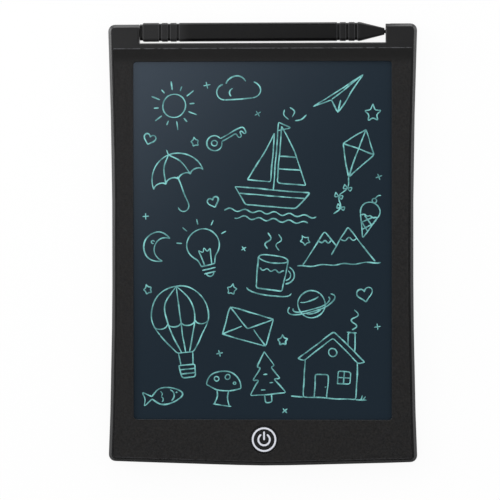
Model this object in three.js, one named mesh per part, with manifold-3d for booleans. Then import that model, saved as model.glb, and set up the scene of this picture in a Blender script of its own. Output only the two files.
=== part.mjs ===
// A pocket writing tablet with a liquid crystal screen, a stylus in its top edge, an erase button
// in its chin and a coin cell behind a door in its back.
// Millimetres. It lies on its back with its face up: X to the right, Y towards the stylus, Z out of
// the face. The origin is the middle of the back face.
import * as THREE from 'three';
import { mergeVertices } from 'three/addons/utils/BufferGeometryUtils.js';
import Module from 'manifold-3d';

const wasm = await Module();
wasm.setup();

// Screen window and the bands of casing round it
const screenWidth = 126.3;
const screenLength = 175;
const screenCorner = 1.5;
const sideBand = 12.33;
const topBand = 9.15;
const chinDepth = 22.6;

// Outline of the casing
const sideSag = 1.85;
const chinDrop = 1.86;
const chinRound = 10;
const cornerRadius = 3.3;
const earWidth = 15.28;
const slotDepth = 9.2;
const slotCorner = 0.4;
const innerRadius = 0.8;
const edgeIn = 1.5;
const edgeUp = 1.3;

// Casing walls
const wall = 1.6;
const floorThickness = 1.2;
const faceThickness = 1;
const deckThickness = 0.8;
const seamDepth = 0.25;
const seamHeight = 0.2;
const lipThickness = 0.7;
const lipHeight = 0.8;
const ribThickness = 1;
const snapReach = 0.25;
const snapLength = 6;
const snapHeight = 0.3;
const labelWidth = 64;
const labelLength = 34;
const labelY = 36;
const labelDepth = 0.15;

// Clearances
const fit = 0.3;
const closeFit = 0.15;
const touch = 0.05;
const overrun = 3;

// Front panel and its adhesive
const panelInset = 2;
const panelTopInset = 2.5;
const panelCorner = 1.4;
const panelThickness = 0.5;
const panelEdge = 0.2;
const glueThickness = 0.1;
const glueInset = 1;

// Screen sheets, from the writing surface down
const sheetBorder = 1.5;
const frontFilm = 0.2;
const crystalLayer = 0.1;
const backFilm = 0.2;
const screenGlue = 0.1;
const sheetSink = 0.2;

// Erase button and the push switch under it
const buttonShift = 0.8;
const buttonBelowScreen = 9.7;
const buttonRadius = 6.7;
const buttonGap = 0.2;
const buttonEdge = 0.25;
const buttonWall = 1;
const flangeReach = 1;
const flangeThickness = 0.45;
const bossRadius = 1.1;
const bossDrop = 0.1;
const switchWidth = 4.8;
const switchHeight = 0.5;
const switchFloor = 0.1;
const domeRadius = 1.75;
const domeThickness = 0.08;
const coverThickness = 0.1;
const plungerRadius = 1.2;
const plungerHeight = 0.3;

// Battery bay, its door and the cell
const cellRadius = 10;
const cellThickness = 1.6;
const cellRim = 1.3;
const cellStep = 0.2;
const bayX = 34;
const bayAboveChin = 22;
const bayWall = 1;
const bayWallDrop = 0.4;
const bayMouth = 15;
const bayMouthReach = 6;
const doorThickness = 0.9;
const ledgeWidth = 1.3;
const ledgeThickness = 0.75;
const ledgeRim = 1.2;
const doorHookEnd = 4;
const doorScrewEnd = 6.5;
const doorCorner = 1.5;
const hookWidth = 4;
const hookSpacing = 13;
const hookReach = 1.3;
const hookThickness = 0.6;
const hookRoot = 1.4;
const hookSweep = 1.4;
const screwInset = 3;
const screwRadius = 0.9;
const screwHeadRadius = 1.8;
const screwHeadHeight = 0.7;
const screwSeat = 0.5;
const screwLength = 2.5;
const screwBossWall = 0.7;
const screwPostWall = 1.3;
const driveWidth = 0.5;
const driveReach = 1.2;
const driveDepth = 0.4;

// Circuit board
const boardThickness = 0.8;
const boardGap = 0.1;
const boardToCell = 2;
const boardLength = 60;
const boardWidth = 14;
const boardEdge = 3.8;
const tabWidth = 11;
const tabLength = 9;
const boardScrewInset = 2.6;
const boardScrewRadius = 0.7;
const boardScrewHead = 1.4;
const boardScrewHeadHeight = 0.5;
const boardScrewLength = 1.8;
const postRadius = 2;
const contactThickness = 0.15;
const contactWidth = 3;
const contactPad = 4;
const contactRise = 0.35;
const contactReach = 7;
const contactTip = 1.4;
const contactOffset = 2.5;
const contactFall = 0.45;

// Flat lead from the screen to the board
const leadToLock = 14;
const leadWidth = 10;
const leadThickness = 0.12;
const leadPad = 2.6;
const leadFold = 0.6;
const leadPlug = 1.4;
const socketWidth = 12;
const socketDepth = 2.6;
const socketHeight = 0.9;

// Parts soldered on the board. An inset counts from the board's left end, a shift or drop from the
// button's middle
const solderGap = 0.02;
const chipWidth = 5;
const chipHeight = 0.9;
const chipShift = 12.5;
const chipDrop = 2.5;
const pinWidth = 0.4;
const pinReach = 0.6;
const pinPitch = 1.2;
const pinThickness = 0.2;
const coilWidth = 4;
const coilHeight = 1;
const coilInset = 18.8;
const coilDrop = 2.5;
const coilRadius = 1.5;
const capLength = 2;
const capWidth = 1.25;
const capHeight = 0.8;
const capInset = 13.3;
const capSpacing = 2.6;
const resistorLength = 1.6;
const resistorWidth = 0.8;
const resistorHeight = 0.45;
const resistorShift = 12.5;
const resistorSpacing = 1.8;
const diodeLength = 2.6;
const diodeWidth = 1.6;
const diodeHeight = 0.9;
const diodeInset = 8.3;

// Lock slider on the back and the slide switch that it moves
const lockInset = 10;
const lockTravel = 2;
const knobWidth = 7;
const knobLength = 4;
const knobThickness = 0.5;
const knobSink = 0.1;
const neckWidth = 2.6;
const neckLength = 1.8;
const keeperReach = 0.6;
const keeperThickness = 0.4;
const lockBodyWidth = 6.6;
const lockBodyLength = 2.4;
const lockBodyHeight = 1.1;
const leverWidth = 1;
const leverHeight = 0.35;
const leverRise = 0.4;
const leverRoot = 1;

// Stylus
const stylusWidth = 9.05;
const stylusLift = 0.1;
const stylusAboveEars = 0.75;
const stylusCorner = 1.4;
const coneLength = 11.8;
const coneTip = 3.3;
const grooveWidth = 1.4;
const grooveDepth = 0.3;
const groovePitch = 4.3;
const grooveCount = 3;
const tailBand = 7.9;
const noseBand = 1.3;
const tailChamfer = 0.5;
const tailShrink = 0.4;
const neckShow = 1.4;
const neckInset = 0.6;
const nibRadius = 0.9;
const nibShow = 0.6;
const nibStemRadius = 0.6;
const nibStem = 6;
const tonguePlay = 0.3;
const earGrip = 2;
const tongueWidth = 4;
const tongueHeight = 1.4;
const plugStem = 5;

// Heights, worked out from what is stacked behind the button
const ledgeBottom = doorThickness + touch;
const ledgeTop = ledgeBottom + ledgeThickness;
const boardBottom = ledgeTop + boardGap;
const boardTop = boardBottom + boardThickness;
const switchTop = boardTop + switchHeight;
const plungerTop = switchTop + plungerHeight;
const flangeBottom = plungerTop + bossDrop;
const faceBottom = flangeBottom + flangeThickness + touch;
const frameTop = faceBottom + faceThickness;
const panelBottom = frameTop + glueThickness;
const panelTop = panelBottom + panelThickness;
const seamZ = boardTop;

// Heights of the screen sheets, from their sunk surface down
const filmTop = frameTop - sheetSink;
const crystalTop = filmTop - frontFilm;
const backFilmTop = crystalTop - crystalLayer;
const screenGlueTop = backFilmTop - backFilm;
const deckTop = screenGlueTop - screenGlue;
const deckBottom = deckTop - deckThickness;

// Outline lengths that follow from the screen and its bands
const bodyWidth = screenWidth + 2 * sideBand;
const bodyLength = slotDepth + topBand + screenLength + chinDepth;
const halfWidth = bodyWidth / 2;
const halfLength = bodyLength / 2;
const slotHalf = halfWidth - earWidth;
const slotFloor = halfLength - slotDepth;
const windowTop = slotFloor - topBand;
const windowBottom = windowTop - screenLength;
const windowY = (windowTop + windowBottom) / 2;
const buttonX = buttonShift;
const buttonY = windowBottom - buttonBelowScreen;

// Counts of flat steps on curves
const sideSteps = 10;
const chinSteps = 12;
const cornerSteps = 5;
const edgeSteps = 1;
const panelEdgeSteps = 2;
const roundSteps = 44;
const smallSteps = 20;
const domeSteps = 4;

// Finishes
const casingPlastic = { color: 0x2c2c2e, roughness: 0.6, metalness: 0 };
const panelPlastic = { color: 0x2b2a2c, roughness: 0.75, metalness: 0 };
const buttonPlastic = { color: 0x2b2a2c, roughness: 0.7, metalness: 0 };
const stylusPlastic = { color: 0x222224, roughness: 0.55, metalness: 0 };
const nibPlastic = { color: 0x2e2f31, roughness: 0.4, metalness: 0 };
const clearFilm = { color: 0x26333f, roughness: 0.25, metalness: 0 };
const crystal = { color: 0x203040, roughness: 0.4, metalness: 0 };
const blackFilm = { color: 0x0c0f12, roughness: 0.5, metalness: 0 };
const glue = { color: 0xd9d9d2, roughness: 0.8, metalness: 0 };
const leadFilm = { color: 0xb87a2e, roughness: 0.5, metalness: 0 };
const boardLaminate = { color: 0x1d5b34, roughness: 0.5, metalness: 0 };
const socketPlastic = { color: 0xe6e1d2, roughness: 0.6, metalness: 0 };
const chipResin = { color: 0x17181a, roughness: 0.7, metalness: 0 };
const ceramic = { color: 0xb9a27f, roughness: 0.6, metalness: 0 };
const springSteel = { color: 0xc2c4c6, roughness: 0.35, metalness: 1 };
const cellSteel = { color: 0xcfd0d0, roughness: 0.25, metalness: 1 };
const screwSteel = { color: 0x8d9093, roughness: 0.35, metalness: 1 };

const tablet = new THREE.Group();

// A three.js geometry as a solid that can be cut and joined
function solid(geometry) {
  const bare = geometry.clone();
  bare.deleteAttribute('normal');
  bare.deleteAttribute('uv');
  const merged = mergeVertices(bare);
  const mesh = new wasm.Mesh({
    numProp: 3,
    vertProperties: new Float32Array(merged.attributes.position.array),
    triVerts: new Uint32Array(merged.index.array),
  });
  return new wasm.Manifold(mesh);
}

// A finished solid as a named piece of the tablet
function piece(name, shape, finish, parent = tablet) {
  const cut = shape.getMesh();
  const geometry = new THREE.BufferGeometry();
  geometry.setAttribute('position', new THREE.BufferAttribute(cut.vertProperties, 3));
  geometry.setIndex(new THREE.BufferAttribute(cut.triVerts, 1));
  geometry.computeVertexNormals();
  const mesh = new THREE.Mesh(geometry, new THREE.MeshStandardMaterial(finish));
  mesh.name = name;
  parent.add(mesh);
  return mesh;
}

function groupAt(x, y, z) {
  const group = new THREE.Group();
  group.position.set(x, y, z);
  tablet.add(group);
  return group;
}

// The two ends of a length that lies evenly about a middle
function about(middle, length) {
  return [middle - length / 2, middle + length / 2];
}

// A box given by its two ends along each axis
function block([x0, x1], [y0, y1], [z0, z1]) {
  const box = new THREE.BoxGeometry(x1 - x0, y1 - y0, z1 - z0);
  box.translate((x0 + x1) / 2, (y0 + y1) / 2, (z0 + z1) / 2);
  return solid(box);
}

// A round rod or disc that stands along Z
function rod(radius, [z0, z1], x = 0, y = 0, steps = smallSteps) {
  const cylinder = new THREE.CylinderGeometry(radius, radius, z1 - z0, steps);
  cylinder.rotateX(Math.PI / 2);
  cylinder.translate(x, y, (z0 + z1) / 2);
  return solid(cylinder);
}

// A flat plate with the outline of the given points
function plate(points, [z0, z1]) {
  const shape = new THREE.Shape(points);
  const extruded = new THREE.ExtrudeGeometry(shape, { depth: z1 - z0, bevelEnabled: false });
  extruded.translate(0, 0, z0);
  return solid(extruded);
}

// A body turned about Z from a profile of radius and height
function turned(profile, steps = roundSteps) {
  const points = profile.map(([radius, height]) => new THREE.Vector2(radius, height));
  const lathe = new THREE.LatheGeometry(points, steps);
  lathe.rotateX(Math.PI / 2);
  return solid(lathe);
}

// Points of a quarter turn about (x, y), from one angle to another
function corner(x, y, radius, from, to) {
  const points = [];
  for (let i = 0; i <= cornerSteps; i += 1) {
    const angle = from + (to - from) * i / cornerSteps;
    points.push(new THREE.Vector2(x + radius * Math.cos(angle), y + radius * Math.sin(angle)));
  }
  return points;
}

// A rectangle with rounded corners
function roundedRectangle([x0, x1], [y0, y1], radius) {
  const quarter = Math.PI / 2;
  return [
    ...corner(x1 - radius, y1 - radius, radius, 0, quarter),
    ...corner(x0 + radius, y1 - radius, radius, quarter, 2 * quarter),
    ...corner(x0 + radius, y0 + radius, radius, 2 * quarter, 3 * quarter),
    ...corner(x1 - radius, y0 + radius, radius, 3 * quarter, 4 * quarter),
  ];
}

// Half the casing's width at a height: the sides are slightly hollow
function sideX(y) {
  const reach = halfLength - cornerRadius;
  return halfWidth - sideSag * (1 - (y / reach) ** 2);
}

// The bottom edge: two straight halves that meet in a rounded point below the button
function chinY(x) {
  const reach = Math.hypot(halfWidth - cornerRadius, chinRound) - chinRound;
  return -halfLength + chinDrop * (Math.hypot(x - buttonX, chinRound) - chinRound) / reach;
}

// The outline below a height, drawn in from the casing's edge by an inset
function lowerOutline(inset, top, topRadius) {
  const radius = Math.max(cornerRadius - inset, innerRadius);
  const low = chinY(halfWidth) + inset;
  const high = top - topRadius;
  const quarter = Math.PI / 2;
  const bottomX = sideX(low) - inset - radius;
  const right = [];
  for (let i = 1; i < chinSteps; i += 1) {
    const x = -bottomX + 2 * bottomX * i / chinSteps;
    right.push(new THREE.Vector2(x, chinY(x) + inset));
  }
  right.push(...corner(bottomX, low + radius, radius, -quarter, 0));
  for (let i = 1; i < sideSteps; i += 1) {
    const y = low + radius + (high - low - radius) * i / sideSteps;
    right.push(new THREE.Vector2(sideX(y) - inset, y));
  }
  const left = right.slice(chinSteps - 1).map((point) => new THREE.Vector2(-point.x, point.y));
  return { right, left: left.reverse() };
}

// The whole casing's outline, before the stylus slot is cut
function bodyOutline(inset) {
  const radius = cornerRadius - inset;
  const { right, left } = lowerOutline(inset, halfLength - inset, radius);
  const quarter = Math.PI / 2;
  const topX = halfWidth - inset - radius;
  const rightCorner = corner(topX, halfLength - inset - radius, radius, 0, quarter);
  const leftCorner = rightCorner.map((point) => new THREE.Vector2(-point.x, point.y)).reverse();
  return [...right, ...rightCorner, ...leftCorner, ...left];
}

// The outline of what lies below the slot: the cavity, the lip and the front panel
function panelOutline(inset, top, radius) {
  const { right, left } = lowerOutline(inset, top, radius);
  const x = sideX(top) - inset - radius;
  const quarter = Math.PI / 2;
  const rightCorner = corner(x, top - radius, radius, 0, quarter);
  const leftCorner = corner(-x, top - radius, radius, quarter, 2 * quarter);
  return [...right, ...rightCorner, ...leftCorner, ...left];
}

// An outline's body whose edges are rounded at the back and the face, or chamfered in one step
function roundedBody(outline, [z0, z1], roundIn, roundUp, roundSegments) {
  const extruded = new THREE.ExtrudeGeometry(new THREE.Shape(outline), {
    depth: z1 - z0 - 2 * roundUp,
    bevelSize: roundIn,
    bevelThickness: roundUp,
    bevelOffset: -roundIn,
    bevelSegments: roundSegments,
  });
  extruded.translate(0, 0, z0 + roundUp);
  return solid(extruded);
}

// A thin strip of even thickness along a path that is seen from its side
function strip(path, thickness, width) {
  const line = path.map(([x, y]) => new THREE.Vector2(x, y));
  const above = [];
  const below = [];
  line.forEach((point, i) => {
    const before = line[Math.max(i - 1, 0)];
    const after = line[Math.min(i + 1, line.length - 1)];
    const intoPoint = point.clone().sub(before).normalize();
    const outOfPoint = after.clone().sub(point).normalize();
    const along = intoPoint.clone().add(outOfPoint).normalize();
    const across = new THREE.Vector2(-along.y, along.x);
    const segment = intoPoint.lengthSq() > 0 ? intoPoint : outOfPoint;
    const miter = thickness / 2 / Math.abs(along.dot(segment));
    above.push(point.clone().addScaledVector(across, miter));
    below.push(point.clone().addScaledVector(across, -miter));
  });
  const shape = new THREE.Shape([...below, ...above.reverse()]);
  const extruded = new THREE.ExtrudeGeometry(shape, { depth: width, bevelEnabled: false });
  extruded.translate(0, 0, -width / 2);
  return extruded;
}

// A strip whose side is seen along Y: the path holds x and z
function stripAlongX(path, thickness, width, y) {
  const geometry = strip(path, thickness, width);
  geometry.rotateX(Math.PI / 2);
  geometry.translate(0, y, 0);
  return solid(geometry);
}

// A strip whose side is seen along X: the path holds y and z
function stripAlongY(path, thickness, width, x) {
  const geometry = strip(path, thickness, width);
  geometry.rotateX(Math.PI / 2);
  geometry.rotateZ(Math.PI / 2);
  geometry.translate(x, 0, 0);
  return solid(geometry);
}

// A bar along X with the given section, whose points hold z and y. Its ends may be drawn in to a
// share of the section each way
function bar(section, [x0, x1], [startZ, startY] = [1, 1], [endZ, endY] = [1, 1]) {
  const shape = new THREE.Shape(section);
  const extruded = new THREE.ExtrudeGeometry(shape, { depth: x1 - x0, bevelEnabled: false });
  const position = extruded.attributes.position;
  for (let i = 0; i < position.count; i += 1) {
    const atEnd = position.getZ(i) > 0;
    position.setX(i, position.getX(i) * (atEnd ? endZ : startZ));
    position.setY(i, position.getY(i) * (atEnd ? endY : startY));
  }
  extruded.translate(0, 0, x0);
  extruded.rotateY(Math.PI / 2);
  return solid(extruded);
}

// A body turned about X from a profile of radius and place along X
function turnedAlongX(profile) {
  const points = profile.map(([radius, x]) => new THREE.Vector2(radius, x));
  const lathe = new THREE.LatheGeometry(points, smallSteps);
  lathe.rotateZ(-Math.PI / 2);
  return solid(lathe);
}

// Places that more than one piece is made from
const cavityTop = slotFloor - wall;
const lipInset = wall + closeFit;
const innerInset = lipInset + lipThickness;
const buttonHole = buttonRadius + buttonGap;
const flangeRadius = buttonRadius + flangeReach;
const sheetX = about(0, screenWidth + 2 * sheetBorder);
const sheetY = about(windowY, screenLength + 2 * sheetBorder);
const recessX = about(0, screenWidth + 2 * (sheetBorder + fit));
const recessY = about(windowY, screenLength + 2 * (sheetBorder + fit));

// Battery bay
const cellX = bayX;
const cellY = -halfLength + bayAboveChin;
const cellBottom = ledgeBottom + touch;
const cellTop = cellBottom + cellThickness;
const bayRadius = cellRadius + fit;
const hingeY = cellY + bayRadius + doorHookEnd;
const doorX = about(cellX, 2 * (bayRadius + ledgeWidth));
const doorY = [cellY - bayRadius - doorScrewEnd, hingeY];
const screwY = doorY[0] + screwInset;
const screwBossRadius = screwHeadRadius + closeFit + screwBossWall;
const screwBossTop = touch + screwHeadHeight + screwSeat;
const hookBottom = floorThickness + 2 * touch;
const hookTop = hookBottom + hookThickness;
const hookMiddles = [cellX - hookSpacing / 2, cellX + hookSpacing / 2];

// Board
const boardRight = cellX - cellRadius - boardToCell;
const boardX = [boardRight - boardLength, boardRight];
const boardY = [-halfLength + boardEdge, -halfLength + boardEdge + boardWidth];
const boardScrewY = boardY[0] + boardScrewInset;
const boardScrewX = [boardX[0] + boardScrewInset, boardX[1] - boardScrewInset];

// Lock slider, with the lever at the end of its travel that leaves the screen unlocked
const lockX = boardX[0] + lockInset;
const lockRestX = lockX - lockTravel / 2;
const lockEndX = lockX + lockTravel / 2;
const neckY = boardY[1] + fit + neckLength / 2;
const knobTop = knobSink + knobThickness;
const leverBottom = boardTop + leverRise;
const leverTop = leverBottom + leverHeight;

// Flat lead, beside the lock's switch, and the notch that lets it through
const leadX = lockX + leadToLock;
const notchX = about(leadX, leadWidth + 2 * fit);
const notchY = [recessY[0] - overrun, sheetY[0] + leadPad + fit];

// Stylus
const stylusY = halfLength + stylusAboveEars - stylusWidth / 2;
const stylusThickness = 2 * (seamZ - stylusLift);
const tailX = -slotHalf + tonguePlay + neckShow;
const noseX = slotHalf - nibShow;
const coneX = noseX - coneLength;

// The stylus slot between the ears, grown by a margin
function slotSpace(margin) {
  const y = [slotFloor - margin, halfLength + overrun];
  const outline = roundedRectangle(about(0, 2 * (slotHalf + margin)), y, slotCorner + margin);
  return plate(outline, [-overrun, frameTop + overrun]);
}

// The casing before it is parted and hollowed
function casingBlank() {
  const blank = roundedBody(bodyOutline(0), [0, frameTop], edgeIn, edgeUp, edgeSteps);
  return blank.subtract(slotSpace(0));
}

// All of the tablet between two heights
function slab([z0, z1]) {
  return block(about(0, bodyWidth + overrun), about(0, bodyLength + overrun), [z0, z1]);
}

// Channels in the ears' inner walls, open at the top edge, for the stylus's tongue and nib
function earChannels() {
  const top = halfLength + overrun;
  const nibHalf = nibRadius + fit;
  const nib = block(
    [slotHalf - overrun, slotHalf + earGrip + fit],
    [stylusY - nibHalf, top],
    about(seamZ, 2 * nibHalf),
  );
  const tongue = block(
    [-slotHalf - earGrip - fit, -slotHalf + overrun],
    [stylusY - tongueWidth / 2 - fit, top],
    about(seamZ, tongueHeight + 2 * fit),
  );
  return nib.add(tongue);
}

// Hollows that keep the plastic of the ears even
function earHollows() {
  const inner = slotHalf + earGrip + fit + floorThickness;
  const outer = halfWidth - wall - edgeIn;
  const y = [slotFloor, halfLength - wall];
  const z = [floorThickness, deckBottom];
  return block([inner, outer], y, z).add(block([-outer, -inner], y, z));
}

// Places of the snap beads along each side
const snapShares = [-0.6, -0.2, 0.2, 0.6];
const snapZ = [seamZ - lipHeight + snapHeight / 2, seamZ - lipHeight + 3 * snapHeight / 2];

// Beads on the lip, or the pockets in the wall that they click into
function snaps(rootInset, reachInset, clearance) {
  let beads = null;
  for (const share of snapShares) {
    const y = share * halfLength;
    for (const side of [-1, 1]) {
      const x = [side * (sideX(y) - rootInset), side * (sideX(y) - reachInset)];
      x.sort((a, b) => a - b);
      const z = [snapZ[0] - clearance, snapZ[1] + clearance];
      const bead = block(x, about(y, snapLength + 2 * clearance), z);
      beads = beads ? beads.add(bead) : bead;
    }
  }
  return beads;
}

// Stiffening ribs on the floor, clear of the bay, the board and the lip
function floorRibs() {
  const z = [floorThickness - touch, deckBottom - fit];
  const endX = sideX(0) - innerInset - fit;
  const low = hingeY + hookReach + ribThickness + fit;
  const high = cavityTop - innerInset + wall - fit;
  const middle = (low + high) / 2;
  let ribs = block(about(0, 2 * endX), about(middle, ribThickness), z);
  for (const share of [0, 1]) {
    const y = low + (high - low) * share;
    const inward = share === 0 ? ribThickness / 2 : -ribThickness / 2;
    ribs = ribs.add(block(about(0, 2 * endX), about(y + inward, ribThickness), z));
  }
  for (const side of [-1, 1]) {
    ribs = ribs.add(block(about(side * endX / 2, ribThickness), [low, high], z));
  }
  return ribs;
}

// The ledge round the battery door, with the low wall that holds the cell
function batteryBay() {
  const reach = closeFit + ledgeRim;
  const ledge = block(
    [doorX[0] - reach, doorX[1] + reach],
    [doorY[0] - reach, doorY[1] + reach],
    [floorThickness - touch, ledgeTop],
  );
  const ringZ = [ledgeTop - touch, cellTop - bayWallDrop];
  const ring = rod(bayRadius + bayWall, ringZ, cellX, cellY, roundSteps);
  const mouth = block(
    [cellX - bayRadius - bayWall - overrun, cellX - bayMouthReach],
    about(cellY, bayMouth),
    [ledgeTop, cellTop + overrun],
  );
  return ledge.add(ring.subtract(mouth));
}

// What the door, its hooks, its screw and the cell need open in the floor and the ledge
function batteryOpenings() {
  const recess = roundedRectangle(
    [doorX[0] - closeFit, doorX[1] + closeFit],
    [doorY[0] - closeFit, doorY[1] + closeFit],
    doorCorner + closeFit,
  );
  let open = plate(recess, [-overrun, ledgeBottom]);
  open = open.add(rod(bayRadius, [0, cellTop + overrun], cellX, cellY, roundSteps));
  open = open.add(rod(screwBossRadius + fit, [0, ledgeTop + overrun], cellX, screwY, roundSteps));
  for (const middle of hookMiddles) {
    const x = about(middle, hookWidth + 2 * fit);
    const swept = [hingeY - hookRoot - hookSweep, hingeY + closeFit];
    open = open.add(block(x, swept, [ledgeBottom - touch, ledgeTop + overrun]));
    open = open.add(block(x, [hingeY, hingeY + hookReach + overrun], [floorThickness, ledgeTop + overrun]));
  }
  return open;
}

function addBackCover() {
  let cover = casingBlank().intersect(slab([-overrun, seamZ]));
  let seamCore = plate(bodyOutline(seamDepth), [seamZ - overrun, seamZ + 2 * overrun]);
  seamCore = seamCore.subtract(slotSpace(seamDepth));
  const seam = slab([seamZ - seamHeight, seamZ + overrun]).subtract(seamCore);
  cover = cover.subtract(seam);
  const cavity = panelOutline(wall, cavityTop, innerRadius);
  cover = cover.subtract(plate(cavity, [floorThickness, seamZ + overrun]));
  cover = cover.subtract(snaps(wall + overrun, wall - snapReach, closeFit));
  cover = cover.add(floorRibs()).add(batteryBay()).subtract(batteryOpenings());
  for (const x of boardScrewX) {
    cover = cover.add(rod(postRadius, [floorThickness - touch, boardBottom], x, boardScrewY));
    const depth = [boardTop - boardScrewLength - fit, boardTop];
    cover = cover.subtract(rod(boardScrewRadius + closeFit, depth, x, boardScrewY));
  }
  cover = cover.subtract(earChannels()).subtract(earHollows());
  const knobX = [lockRestX - knobWidth / 2 - fit, lockEndX + knobWidth / 2 + fit];
  cover = cover.subtract(block(knobX, about(neckY, knobLength + 2 * fit), [-overrun, knobTop + touch]));
  const neckX = [lockRestX - neckWidth / 2 - fit, lockEndX + neckWidth / 2 + fit];
  cover = cover.subtract(block(neckX, about(neckY, neckLength + 2 * fit), [0, floorThickness + overrun]));
  const label = roundedRectangle(about(0, labelWidth), about(labelY, labelLength), cornerRadius);
  cover = cover.subtract(plate(label, [-overrun, labelDepth]));
  piece('back_cover', cover, casingPlastic);
}

function addFrontFrame() {
  let frame = casingBlank().intersect(slab([seamZ, frameTop + overrun]));
  const top = cavityTop - innerInset + wall;
  const hollow = plate(panelOutline(innerInset, top, innerRadius), [seamZ - overrun, deckBottom]);
  frame = frame.subtract(hollow);
  const lipTop = cavityTop - closeFit;
  const lip = plate(panelOutline(lipInset, lipTop, innerRadius), [seamZ - lipHeight, deckBottom]);
  frame = frame.add(lip.subtract(hollow)).add(snaps(innerInset, lipInset - snapReach, 0));
  const chin = panelOutline(innerInset, recessY[0] - faceThickness, innerRadius);
  frame = frame.subtract(plate(chin, [seamZ, faceBottom]));
  frame = frame.subtract(block(recessX, recessY, [deckTop, frameTop + overrun]));
  frame = frame.subtract(block(notchX, [recessY[0], notchY[1]], [seamZ, frameTop + overrun]));
  frame = frame.subtract(rod(flangeRadius + fit, [seamZ, faceBottom], buttonX, buttonY, roundSteps));
  frame = frame.subtract(rod(buttonHole, [seamZ, frameTop + overrun], buttonX, buttonY, roundSteps));
  const postZ = [screwBossTop + fit, faceBottom + touch];
  frame = frame.add(rod(screwRadius + fit + screwPostWall, postZ, cellX, screwY));
  const screwEnd = touch + screwHeadHeight + screwLength + fit;
  frame = frame.subtract(rod(screwRadius + fit, [0, screwEnd], cellX, screwY));
  frame = frame.subtract(earChannels()).subtract(earHollows());
  piece('front_frame', frame, casingPlastic);
}

function addFrontPanel() {
  const top = slotFloor - panelTopInset;
  const outline = panelOutline(panelInset, top, panelCorner);
  let panel = roundedBody(outline, [panelBottom, panelTop], panelEdge, panelEdge, panelEdgeSteps);
  const windowOutline = roundedRectangle(about(0, screenWidth), [windowBottom, windowTop], screenCorner);
  panel = panel.subtract(plate(windowOutline, [frameTop, panelTop + overrun]));
  panel = panel.subtract(rod(buttonHole, [frameTop, panelTop + overrun], buttonX, buttonY, roundSteps));
  piece('bezel_overlay', panel, panelPlastic);

  const inset = panelInset + glueInset;
  let sheet = plate(panelOutline(inset, top - glueInset, panelCorner), [frameTop, panelBottom]);
  sheet = sheet.subtract(block(recessX, recessY, [filmTop, panelTop]));
  const hole = rod(buttonHole + fit, [filmTop, panelTop], buttonX, buttonY, roundSteps);
  piece('overlay_adhesive', sheet.subtract(hole), glue);
}

// The screen: films and the crystal layer between them, stuck to the frame's deck
function addScreen() {
  const notch = block(notchX, notchY, [deckBottom, crystalTop]);
  piece('lcd_front_film', block(sheetX, sheetY, [crystalTop, filmTop]), clearFilm);
  piece('lcd_crystal_layer', block(sheetX, sheetY, [backFilmTop, crystalTop]).subtract(notch), crystal);
  piece('lcd_back_film', block(sheetX, sheetY, [screenGlueTop, backFilmTop]).subtract(notch), blackFilm);
  piece('lcd_adhesive_sheet', block(sheetX, sheetY, [deckTop, screenGlueTop]).subtract(notch), glue);
}

// The flat lead leaves the front film's edge, drops through the deck and runs into its socket
function addLead() {
  const padZ = crystalTop - leadThickness / 2;
  const flatZ = boardTop + socketHeight / 2;
  const foldY = recessY[0] + leadFold;
  const path = [
    [sheetY[0] + leadPad, padZ],
    [foldY + 2 * leadFold, padZ],
    [foldY + leadFold, padZ - leadFold],
    [foldY + leadFold, flatZ + leadFold],
    [foldY, flatZ],
    [boardY[1] - closeFit - leadPlug, flatZ],
  ];
  piece('lcd_flex_tail', stripAlongY(path, leadThickness, leadWidth, leadX), leadFilm);
  const socketY = [boardY[1] - closeFit - socketDepth, boardY[1] - closeFit];
  const socket = block(about(leadX, socketWidth), socketY, [boardTop, boardTop + socketHeight]);
  const mouth = block(
    about(leadX, leadWidth + 2 * closeFit),
    [socketY[1] - leadPlug - closeFit, socketY[1] + overrun],
    about(flatZ, leadThickness + 2 * touch),
  );
  piece('flex_connector', socket.subtract(mouth), socketPlastic);
}

function addBoard() {
  const outline = [
    [boardX[0], boardY[0]],
    [boardX[1], boardY[0]],
    [boardX[1], boardY[1] + tabLength],
    [boardX[1] - tabWidth, boardY[1] + tabLength],
    [boardX[1] - tabWidth, boardY[1]],
    [boardX[0], boardY[1]],
  ];
  let board = plate(outline.map(([x, y]) => new THREE.Vector2(x, y)), [boardBottom, boardTop]);
  const names = ['board_screw_left', 'board_screw_right'];
  boardScrewX.forEach((x, i) => {
    board = board.subtract(rod(boardScrewRadius + closeFit, [0, frameTop], x, boardScrewY));
    const headTop = boardTop + boardScrewHeadHeight;
    const shank = rod(boardScrewRadius, [boardTop - boardScrewLength, headTop], x, boardScrewY);
    const head = rod(boardScrewHead, [boardTop, headTop], x, boardScrewY);
    const drive = crossSlot(x, boardScrewY, [headTop - boardScrewHeadHeight / 2, headTop + overrun]);
    piece(names[i], head.add(shank).subtract(drive), screwSteel);
  });
  piece('main_board', board, boardLaminate);
}

// The cross that a screwdriver turns
function crossSlot(x, y, z) {
  const across = block(about(x, 2 * driveReach), about(y, driveWidth), z);
  return across.add(block(about(x, driveWidth), about(y, 2 * driveReach), z));
}

// A chip in a resin body with a row of flat pins along two sides
function addChip() {
  const x = buttonX + chipShift;
  const y = buttonY - chipDrop;
  const bodyZ = [boardTop + pinThickness / 2, boardTop + chipHeight];
  let chip = block(about(x, chipWidth), about(y, chipWidth), bodyZ);
  for (const step of [-3 / 2, -1 / 2, 1 / 2, 3 / 2]) {
    const pinX = about(x + step * pinPitch, pinWidth);
    const pinZ = [boardTop + solderGap, boardTop + pinThickness];
    chip = chip.add(block(pinX, about(y, chipWidth + 2 * pinReach), pinZ));
  }
  piece('controller_chip', chip, chipResin);
}

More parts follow.
